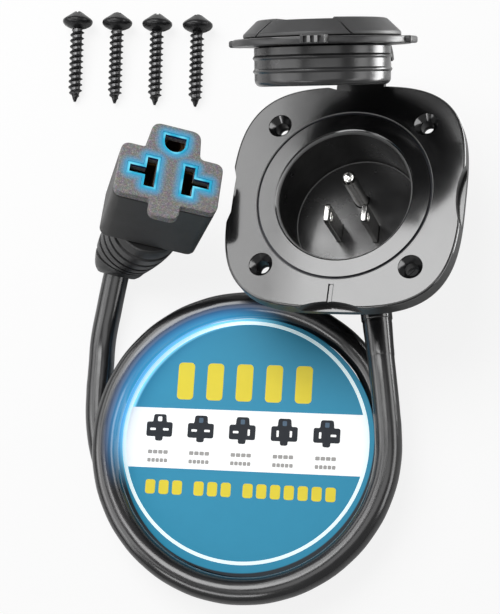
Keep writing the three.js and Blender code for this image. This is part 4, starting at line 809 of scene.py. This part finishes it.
make_inlet_relief()


# -------- weather cap
SHEET_LOW, SHEET_TOP = 0.3, 2.5
SHEET_PROFILE = [(0, SHEET_LOW), (27.4, SHEET_LOW), (27.8, 0.45), (28.0, 0.9), (28.0, 1.9),
                 (27.8, 2.3), (27.4, SHEET_TOP), (0, SHEET_TOP)]
DOME_PROFILE = [(0, 2.8), (24.2, 2.8), (24.5, 3.1), (24.5, 3.8), (24.35, 4.15), (20.5, 7.85),
                (20.1, 8.15), (19.5, 8.3), (0, 8.3)]
SEAM = [(9.1, 8.6), (9.6, 8.6), (15.4, 3.0), (15.4, 2.2), (15.0, 2.2), (15.0, 2.9)]
SPIGOT_HOLE = 8.3


def arc(radius, start, end, steps):
    """Points of an arc about the hinge, in the plane across it."""
    out = []
    for i in range(steps + 1):
        a = math.radians(start + (end - start) * i / steps)
        out.append((HINGE_Y + radius * math.cos(a), HINGE_Z + radius * math.sin(a)))
    return out


def slab(name, points, width, matrix):
    """An outline in the YZ plane, drawn out evenly to both sides."""
    ring = lambda x: [(x, y, z) for y, z in points]
    return loft(name, [ring(-width / 2), ring(width / 2)], matrix)


def make_strap():
    """The rubber sheet with ears, latch tab, tongue, bend and hinge knuckle."""
    hinge = crosswise(CAP, 0, HINGE_Y, HINGE_Z)
    sheet = lathe("strap", SHEET_PROFILE, CAP, 160)
    add = [box("tongue", -STRAP_HALF, STRAP_HALF, 20, 50.01, SHEET_LOW, SHEET_TOP, CAP)]
    for side in (-1, 1):
        x0, x1 = sorted((side * 24, side * 29.4))
        ear = box("ear", x0, x1, -4.5, 4.5, SHEET_LOW, SHEET_TOP, CAP)
        add.append(soften(ear, 0.7, 3))
    bend = arc(8.5, 90, 15, 14) + arc(6.3, 15, 90, 14)
    add.append(slab("bend", bend, 2 * STRAP_HALF, CAP))
    web = arc(7.4, 75, 20, 8) + [(HINGE_Y + 2.1, HINGE_Z - 1.05), (HINGE_Y, HINGE_Z - 1.05)]
    add.append(slab("web", web + [(HINGE_Y - 1.05, HINGE_Z + 1.05)], 10.0, CAP))
    add.append(lathe("knuckle", [(2.1, -5), (2.1, 5)], hinge, 40))
    latch = box("latch", 2.25, 9.75, -30.6, -26, SHEET_LOW, 2.9, CAP)
    add.append(soften(latch, 0.35, 3))
    combine(sheet, add, "UNION")
    cuts = [box("catch", x - 0.6, x + 0.6, -31, -29.6, 0.6, 2.6, CAP) for x in (3.9, 6.1, 8.3)]
    cuts.append(lathe("pin", [(1.3, -9), (1.3, 9)], hinge, 32))
    cuts.append(lathe("spigot_hole", [(SPIGOT_HOLE, -1), (SPIGOT_HOLE, 4)], CAP, 64))
    combine(sheet, cuts)
    soften(sheet, 0.25, 3, 40)
    finish(sheet, RUBBER, "cap", ("cap_strap",))

    # Painted highlight on the latch bars and on part of the front lip
    def highlight_faces(face):
        x, y, z = (c / MM for c in face.center)
        lip = 27.2 < math.hypot(x, y) < 27.97 and 2.15 < z < 2.56 and y < 0
        return (y < -30.3 and (4.5 < x < 5.5 or 6.7 < x < 7.7)) or (lip and -7.5 < x < 2.3)

    repaint(sheet, HIGHLIGHT_GREY, highlight_faces)


def make_dome():
    """The hard dome on the sheet, with a channel and two seams across it."""
    dome = lathe("dome", DOME_PROFILE, CAP, 144)
    cuts = [box("channel", -9.0, 9.0, -25, 25, 7.8, 10, CAP)]
    cuts.append(lathe("socket", [(SPIGOT_HOLE, 2), (SPIGOT_HOLE, 7.1)], CAP, 64))
    sideways = shifted(CAP, 0, -23.9, 0) @ Matrix.Rotation(-math.pi / 2, 4, "Z")
    for line in ([(-x, z) for x, z in reversed(SEAM)], SEAM):
        cuts.append(slab("seam", line, 12.4, sideways))
    combine(dome, cuts)
    soften(dome, 0.18, 2, 32)
    finish(dome, CAP_GREY, "cap", ("cap_shell",))


def make_plug():
    """The plug that closes the recess: a cup with two sealing ribs and a spigot."""
    profile = [(0, 0), (20.9, 0), (21.2, -0.3)]
    for d in (3.24, 7.32):
        profile += [(21.2, -d + 0.75), (21.4, -d + 0.5), (21.68, -d + 0.12), (21.68, -d - 0.12)]
        profile += [(21.4, -d - 0.5), (21.2, -d - 0.75)]
    profile += [(19.2 + 2.0 * c, -10.0 - 2.0 * s) for c, s in quarter(8)]
    profile += [(19.1, -11.9), (19.0, -11.7), (19.0, -1.4), (18.8, -1.2), (0, -1.2)]
    cup = lathe("plug", profile, CAP, 160)
    spigot = lathe("spigot", [(8.0, -0.5), (8.0, 6.8)], CAP, 64)
    combine(cup, [spigot], "UNION")
    finish(cup, CAP_RUBBER, "cap", ("cap_plug",))


make_strap()
make_dome()
make_plug()


# -------- connector
def face_outline(tab, scale=1.0, steps=8):
    """The cross-shaped outline of the connector's face, with the tab at its foot or not."""
    right = [(5.1, -15.4, 3.2), (5.1, -9.9, 0.8)] if tab else []
    right += [(17.3, -9.9, 3.2), (17.3, 9.2, 3.2), (9.1, 9.2, 1.6), (8.2, 19.3, 3.2)]
    corners = right + [(-x, y, r) for x, y, r in reversed(right)]
    out = []
    for i, (x, y, r) in enumerate(corners):
        here = Vector((x, y))
        before = Vector(corners[i - 1][:2])
        after = Vector(corners[(i + 1) % len(corners)][:2])
        a = here + (before - here).normalized() * r
        b = here + (after - here).normalized() * r
        for k in range(steps + 1):
            t = k / steps
            q = a * (1 - t) ** 2 + here * 2 * t * (1 - t) + b * t * t
            out.append((q.x * scale, q.y * scale))
    return out


def level(outline, z):
    return [(x, y, z) for x, y in outline]


def tee(side, g):
    """The outline of a blade's slot, grown by g: a T lying on its side."""
    x0, x1, x2 = TEE_IN - g, TEE_STEM + g, TEE_OUT + g
    y1, y2 = TEE_HALF_ARM + g, TEE_HALF + g
    pts = [(x0, -y2), (x1, -y2), (x1, -y1), (x2, -y1), (x2, y1), (x1, y1), (x1, y2), (x0, y2)]
    return pts if side > 0 else [(-x, y) for x, y in reversed(pts)]


def dee(g):
    """The outline of the ground slot, grown by g: flat on top and round below."""
    r = DEE_RADIUS + g
    pts = [(r, DEE_TOP + g), (-r, DEE_TOP + g)]
    for k in range(21):
        a = math.pi + math.pi * k / 20
        pts.append((r * math.cos(a), DEE_MIDDLE + r * math.sin(a)))
    return pts


SLOTS = (("line", lambda g: tee(-1, g)), ("neutral", lambda g: tee(1, g)), ("ground", dee))


def slot_tool(shape, g, z0, z1):
    return loft("slot", [level(shape(g), z0), level(shape(g), z1)], CONNECTOR)


def make_face():
    """The face plate with its three slots and their cyan rims, which carry a painted glow."""
    outline = face_outline(True)
    face = loft("face", [level(outline, -3.2), level(outline, 0)], CONNECTOR)
    soften(face, 0.45, 3, 60)
    cuts = [slot_tool(shape, 0.0, -4, 1) for _, shape in SLOTS]
    cuts += [slot_tool(shape, 0.96, -1.4, 1) for _, shape in SLOTS]
    combine(face, cuts)
    finish(face, FACE, "base", ("connector_face",))
    for name, shape in SLOTS:
        rim = slot_tool(shape, 0.92, -1.2, -0.04)
        soften(rim, 0.25, 2, 40)
        combine(rim, [slot_tool(shape, 0.0, -2, 1)])
        finish(rim, RIM, "base", (name + "_slot_rim",))


def make_body():
    """The tapered body behind the face, hollow, with painted shade inside."""
    rings = []
    for z, scale in ((-32.0, 0.925), (-31.7, 0.955), (-31.0, 0.97), (-4.2, 0.999),
                     (-3.7, 0.995), (-3.5, 0.985)):
        rings.append(level(face_outline(False, scale), z))
    body = loft("connector_body_look", rings, CONNECTOR)
    room = [box("room", -15.0, 15.0, -8.0, 7.3, -29, 0, CONNECTOR),
            box("room", -6.6, 6.6, 0, 17.9, -29, 0, CONNECTOR)]
    combine(body, room)
    finish(body, BODY_GREY, "base", ("connector_body",))

    # Painted shade on the faces inside the hollow
    def inside(face):
        x, y, z = (c / MM for c in face.center)
        wide, high = abs(x) < 15.2 and -8.2 < y < 7.5, abs(x) < 6.8 and 0 < y < 18.1
        return -29.3 < z < -3.6 and (wide or high)

    repaint(body, SHADE_DARK, inside)


make_face()
make_body()


# -------- relief at the connector
RELIEF_RIBS = 5
RELIEF_KNOTS, RELIEF_RINGS, RELIEF_COUNT = 600, 150, 72


def relief_radius(share):
    """The radius at a share of the length: a taper with grooves and two rounded ends."""
    if share < 0.2:
        r = 11.6 + 0.7 * math.sin(share / 0.2 * math.pi / 2)
    else:
        r = 12.3 - 4.6 * ((share - 0.2) / 0.8) ** 2.3
    phase = (share - 0.12) / 0.16
    if 0 <= phase < RELIEF_RIBS:
        part = phase % 1.0
        r -= 0.95 * ease(part / 0.06) * ease((0.34 - part) / 0.06)
    if share < 0.015:
        r -= 0.5 * (1 - share / 0.015)
    if share > 0.9:
        r -= 1.9 * (1 - math.sqrt(1 - ((share - 0.9) / 0.1) ** 2))
    return r


def make_relief():
    """The ribbed relief, bent from the connector's back down to the cord's end."""
    turn = CONNECTOR.to_3x3()
    at = CONNECTOR.translation / MM
    back = turn @ Vector((0, 0, -1))
    side = turn @ Vector((1, 0, 0))
    p0 = at + back * 32.3
    p1 = p0 + back * 11
    p3 = CORD_END
    p2 = p3 - CORD_END_WAY.normalized() * 12
    point = lambda t: (p0 * (1 - t) ** 3 + p1 * 3 * t * (1 - t) ** 2
                       + p2 * 3 * t * t * (1 - t) + p3 * t**3)
    fine = [point(i / RELIEF_KNOTS) for i in range(RELIEF_KNOTS + 1)]
    reach = [0.0]
    for a, b in zip(fine, fine[1:]):
        reach.append(reach[-1] + (b - a).length)
    rings = []
    k = 0
    for i in range(RELIEF_RINGS + 1):
        share = i / RELIEF_RINGS
        while k < RELIEF_KNOTS and reach[k] < share * reach[-1]:
            k += 1
        along = (fine[min(k + 2, RELIEF_KNOTS)] - fine[max(k - 2, 0)]).normalized()
        across = (side - along * side.dot(along)).normalized()
        up = along.cross(across)
        flat = circle(relief_radius(share), 0, RELIEF_COUNT)
        rings.append([tuple(fine[k] + across * x + up * y) for x, y, _ in flat])
    relief = loft("relief", rings)
    finish(relief, RUBBER, "base", ("connector_strain_relief",), 55)


make_relief()


# -------- mounting screws
HEAD_RADIUS, HEAD_Z = 5.6, 29.4
CREST, CORE, PITCH = 2.65, 1.8, 2.2
FIRST_CREST_Z = 5.03
SCREW_AT, SCREW_STEP = (-111.9, 62.3), (15.4, -1.7)
SCREW_BEARING = 86.85
THREAD_COUNT = 36
HEAD_PROFILE = [(CORE, 26.6), (2.2, 26.9), (3.6, 27.4), (4.8, 28.1), (5.4, 28.8),
                (HEAD_RADIUS, HEAD_Z), (5.5, 30.0), (4.9, 30.6), (3.5, 31.6), (2.3, 32.5),
                (1.3, 33.2), (0.8, 33.4)]


def make_screw(index):
    """A coarse thread wound round the shank, under a cone-sided head."""
    rise = math.atan((HEAD_RADIUS - CREST) / (HEAD_Z - FIRST_CREST_Z))
    turn = leaned(90 - math.degrees(rise), SCREW_BEARING, math.degrees(0.9 * index))
    x, y = (at + step * index for at, step in zip(SCREW_AT, SCREW_STEP))
    tip = CREST * math.cos(rise) - FIRST_CREST_Z * math.sin(rise)
    matrix = place((x, y, tip), turn)
    rings = []
    z = -0.9
    while z < 26.5:
        ring = []
        core = CORE * min(1.0, 0.22 + 0.78 * (z + 1) / 4.0)
        grown = ease((z + 0.4) / 3.6) * ease((26.9 - z) / 1.3)
        for j in range(THREAD_COUNT):
            b = TAU * j / THREAD_COUNT
            phase = ((z / PITCH) - j / THREAD_COUNT) % 1.0
            ridge = max(0.0, 1 - abs(phase - 0.5) / 0.30)
            r = core + (CREST - CORE) * grown * ease(ridge)
            ring.append((r * math.cos(b), r * math.sin(b), z))
        rings.append(ring)
        z += PITCH / 12
    rings += [circle(r, h, THREAD_COUNT) for r, h in HEAD_PROFILE]
    screw = loft("screw_%d" % (index + 1), rings, matrix)
    cross = [box("cross", -2.1, 2.1, -0.45, 0.45, 31.6, 35, matrix),
             box("cross", -0.45, 0.45, -2.1, 2.1, 31.6, 35, matrix)]
    combine(screw, cross)
    finish(screw, SCREW_BLACK, "base",
           ("mounting_screw_%d" % (index + 1),), 50)

    def shank(face):
        x, y, z = face.center
        return 0.002 < z < 0.0267 and math.hypot(x, y) < 0.0019

    repaint(screw, SHANK_GREY, shank)


for number in range(4):
    make_screw(number)


# -------- label
LABEL_TOP = 9.8
CARD_PROFILE = [(0, 8.8), (44.4, 8.8), (44.6, 8.9), (44.6, 9.7), (44.4, LABEL_TOP),
                (0, LABEL_TOP)]
CARD = place((*COIL_AT, 0), Quaternion())
PRINT_STRETCH = 1.03
PRINT = shifted(WORLD, -45.6, -68.5, LABEL_TOP) @ Matrix.Rotation(math.radians(-3.7), 4, "Z")
FLAT, RAISED = 0.03, 0.06
CROSS_SCALE = 0.268
CROSS_FIRST, CROSS_STEP = -30.4, 14.75


def flat_piece(name, outline, mat, height=FLAT):
    """A printed patch: a thin plate lying on the card."""
    patch = loft(name, [level(outline, 0.0), level(outline, height)], PRINT)
    finish(patch, mat, "base")


def rounded_bar(cx, cy, w, h, r, steps=5):
    """A rectangle with round corners, about its middle."""
    out = []
    for sx, sy, start in ((1, -1, -90), (1, 1, 0), (-1, 1, 90), (-1, -1, 180)):
        for k in range(steps + 1):
            b = math.radians(start + 90 * k / steps)
            out.append((cx + sx * (w / 2 - r) + r * math.cos(b),
                        cy + sy * (h / 2 - r) + r * math.sin(b)))
    return out


def make_halo():
    """The strip of painted glow and painted shade between the card's edge and the cord that lies
    beside it.
    """
    inner, low, high = 44.65, 9.4, 9.7
    halo = []
    for k in range(81):
        degrees = 96 + 150 * k / 80
        rise = coil_height(degrees + 360) - (low + high) / 2
        outer = min(47.2, 49.1 - math.sqrt(max(0.0, CORD_RADIUS**2 - rise**2)))
        outer = max(44.75, outer - (outer - 44.75) * ease((degrees - 205) / 41))
        b = math.radians(degrees)
        halo.append([(r * math.cos(b), r * math.sin(b), z)
                     for r, z in ((inner, low), (outer, low), (outer, high), (inner, high))])
    finish(loft("label_halo", halo, CARD), HALO, "base")


def make_ring():
    """The white line round the print."""
    rings = []
    for r, z in ((40.9, 0.0), (40.9, FLAT), (42.1, FLAT), (42.1, 0.0)):
        rings.append([(PRINT_STRETCH * x, y, z) for x, y, z in circle(r, z, 160)])
    ring = loft("label_ring", rings, PRINT, close=True)
    finish(ring, RING_WHITE, "base")


def make_band():
    """The white band across the print, with its ends on the ring."""
    band = []
    top, low, r = 10.6, -10.3, 41.0
    a0, a1 = math.asin(low / r), math.asin(top / r)
    for k in range(25):
        b = a0 + (a1 - a0) * k / 24
        band.append((PRINT_STRETCH * r * math.cos(b), r * math.sin(b)))
    band += [(-x, y) for x, y in reversed(band)]
    flat_piece("label_band", band, PAPER, 0.02)


def make_words():
    """Plain bars where the lines of words are: five tall ones above, dashes below."""
    for i in range(5):
        bar = rounded_bar(-22.1 + 10.45 * i, 20.3, 5.8, 13.0, 1.4)
        flat_piece("label_bar_%d" % (i + 1), bar, YELLOW)
    x = -32.2
    for word in (3, 3, 7):
        for _ in range(word):
            flat_piece("label_dash", rounded_bar(x, -16.9, 3.5, 4.9, 0.9, 3), YELLOW)
            x += 4.78
        x += 2.9


def make_pictograms():
    """The five plug patterns as small crosses, each over two rows of grey marks."""
    lying, upright = (2.0, 0.8), (0.8, 2.2)
    slots = [(lying, lying), (lying, lying), (lying, upright), (upright, upright),
             (upright, lying)]
    for i, pair in enumerate(slots):
        cx = CROSS_FIRST + CROSS_STEP * i
        small = [(cx + x * CROSS_SCALE, 3.2 + y * CROSS_SCALE)
                 for x, y in face_outline(True, steps=4)]
        flat_piece("label_cross_%d" % (i + 1), small, INK, 0.04)
        for side, (w, h) in zip((-1, 1), pair):
            slot = rounded_bar(cx + side * 2.3, 3.1, w, h, 0.2, 2)
            flat_piece("label_slot", slot, PAPER, RAISED)
        hole = rounded_bar(cx, 6.7, 1.5, 1.7, 0.35, 3)
        flat_piece("label_hole", hole, PAPER if i == 0 else SOFT_INK, RAISED)
        for row, (n, w) in enumerate(((4, 1.55), (5, 1.2))):
            for j in range(n):
                off = (j - (n - 1) / 2) * (7.4 / n)
                mark = rounded_bar(cx + off, -4.8 - 2.9 * row, w, 1.3, 0.25, 2)
                flat_piece("label_mark", mark, PALE_INK)


finish(lathe("label_card", CARD_PROFILE, CARD, 160), TEAL, "base",
       ("label_disc",))
make_halo()
make_ring()
make_band()
make_words()
make_pictograms()


# -------- pieces kept from the CAD
CARRIED = [
    (BRASS, "brass_contact", ("line_terminal", "neutral_terminal", "ground_terminal")),
    # The contacts take the brass with painted shade
    (SHADED_BRASS, "brass_contact", ("line_contact", "neutral_contact", "ground_contact")),
    (BLACK_WIRE, "black_insulation", ("line_wire", "connector_line_wire")),
    (WHITE_WIRE, "white_insulation", ("neutral_wire", "connector_neutral_wire")),
    (GREEN_WIRE, "green_insulation", ("ground_wire", "connector_ground_wire")),
    (MATTE_BLACK, "matte_black_plastic", ("rear_cover", "cord_clamp")),
    (NICKEL, "nickel_plate", ("cover_screw_1", "cover_screw_2", "hinge_pin")),
    (CORD, "black_cord_jacket", ("cord_sheath_end",)),
    (GASKET, "black_rubber", ("flange_gasket",)),
]
for mat, slot_name, nodes in CARRIED:
    for node in nodes:
        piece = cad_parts[node]
        piece.data.materials.clear()
        piece.data.materials.append(mat)
        edge = piece.modifiers.new("edge", "BEVEL")
        edge.width = 0.15 * MM
        edge.segments = 2
        edge.limit_method = "ANGLE"
        edge.angle_limit = math.radians(40)


# -------- stage and lights
FLOOR_HALF, FLOOR_Z = 6.0, -0.0002
FLOOR_GLOW = 0.86
SKY_LIGHT = 0.29


def make_stage():
    """A floor and a sky that are nearly white to the camera and lit less than that."""
    data = bpy.data.meshes.new("floor")
    corners = ((-1, -1), (1, -1), (1, 1), (-1, 1))
    data.from_pydata([(x * FLOOR_HALF, y * FLOOR_HALF, FLOOR_Z) for x, y in corners],
                     [], [(0, 1, 2, 3)])
    floor = new_object("floor", data, WORLD)
    m = Nodes("floor")
    m.set(Base_Color=(0.86, 0.86, 0.86), Roughness=0.9, Specular_IOR_Level=0.1)
    nodes, links = m.tree.nodes, m.tree.links
    shine = nodes.new("ShaderNodeEmission")
    shine.inputs[0].default_value = (1, 1, 1, 1)
    shine.inputs[1].default_value = 1.0
    path = nodes.new("ShaderNodeLightPath")
    blend = nodes.new("ShaderNodeMixShader")
    amount = m.math("MULTIPLY", path.outputs["Is Camera Ray"], FLOOR_GLOW)
    links.new(amount, blend.inputs[0])
    links.new(m.bsdf.outputs[0], blend.inputs[1])
    links.new(shine.outputs[0], blend.inputs[2])
    links.new(blend.outputs[0], nodes["Material Output"].inputs[0])
    data.materials.append(m.mat)

    world = bpy.data.worlds.new("studio")
    bpy.context.scene.world = world
    world.use_nodes = True
    tree = world.node_tree
    back = tree.nodes["Background"]
    back.inputs[0].default_value = (1, 1, 1, 1)
    path = tree.nodes.new("ShaderNodeLightPath")
    strength = tree.nodes.new("ShaderNodeMath")
    strength.operation = "MULTIPLY_ADD"
    strength.inputs[1].default_value = 1 - SKY_LIGHT
    strength.inputs[2].default_value = SKY_LIGHT
    tree.links.new(path.outputs["Is Camera Ray"], strength.inputs[0])
    tree.links.new(strength.outputs[0], back.inputs[1])


def panel(name, width, height, radiance, matrix):
    """A rectangular lamp of an even radiance, with its sides in metres."""
    data = bpy.data.lights.new(name, "AREA")
    data.shape = "RECTANGLE"
    data.size, data.size_y = width, height
    data.energy = radiance * math.pi * data.size * data.size_y
    return new_object(name, data, matrix)


def softbox(name, x0, x1, y0, y1, radiance, height=650.0):
    """A panel seen in the flange as the patch x0..x1, y0..y1."""
    n = (INLET.to_3x3() @ Vector((0, 0, 1))).normalized()
    centre = INLET.translation
    reach = (CAMERA_AT - centre).dot(n)
    mirrored = CAMERA_AT - n * 2 * reach
    grow = (reach + height * MM) / reach
    corner = lambda x, y: mirrored + (INLET @ (Vector((x, y, 0)) * MM) - mirrored) * grow
    low, side, top = corner(x0, y0), corner(x1, y0), corner(x0, y1)
    m = INLET.to_3x3().to_4x4()
    m.translation = low + (side - low) / 2 + (top - low) / 2
    panel(name, (side - low).length, (top - low).length, radiance, m)


def strip(name, at, towards, width, height, radiance):
    """A panel outside the picture that is seen in glossy surfaces alone."""
    way = (Vector(towards) - Vector(at)).normalized()
    matrix = look_matrix(Vector(at) * MM, way, Vector((0, 0, 1)))
    panel(name, width * MM, height * MM, radiance, matrix).visible_diffuse = False


def low_panel(name, x0, x1, y0, y1, z, radiance):
    """A panel lying beside the object and facing up: the light streak on the plug."""
    middle = shifted(WORLD, (x0 + x1) / 2, (y0 + y1) / 2, z)
    light = panel(name, (x1 - x0) * MM, (y1 - y0) * MM, radiance,
                  middle @ Matrix.Rotation(math.pi, 4, "X"))
    light.visible_diffuse = False
    light.visible_camera = False


make_stage()
low_panel("panel_low", 122, 330, -20, 190, 1.0, 15.0)
softbox("panel_left", -150, -22, -140, 110, 3.5)
softbox("panel_front", -17, 130, -150, 14, 6.4)
strip("panel_top", (-468, -108, 460), (0, 36, 112), 330, 430, 2.2)
strip("panel_over", (90, -150, 540), (0, 30, 60), 520, 260, 1.3)
strip("strip_right", (330, 0, 160), (0, 0, 50), 500, 130, 3.5)
strip("strip_left", (-360, -20, 170), (0, 0, 50), 500, 130, 2.0)
strip("strip_front", (-230, -400, 350), (-60, 0, 20), 320, 110, 5.0)
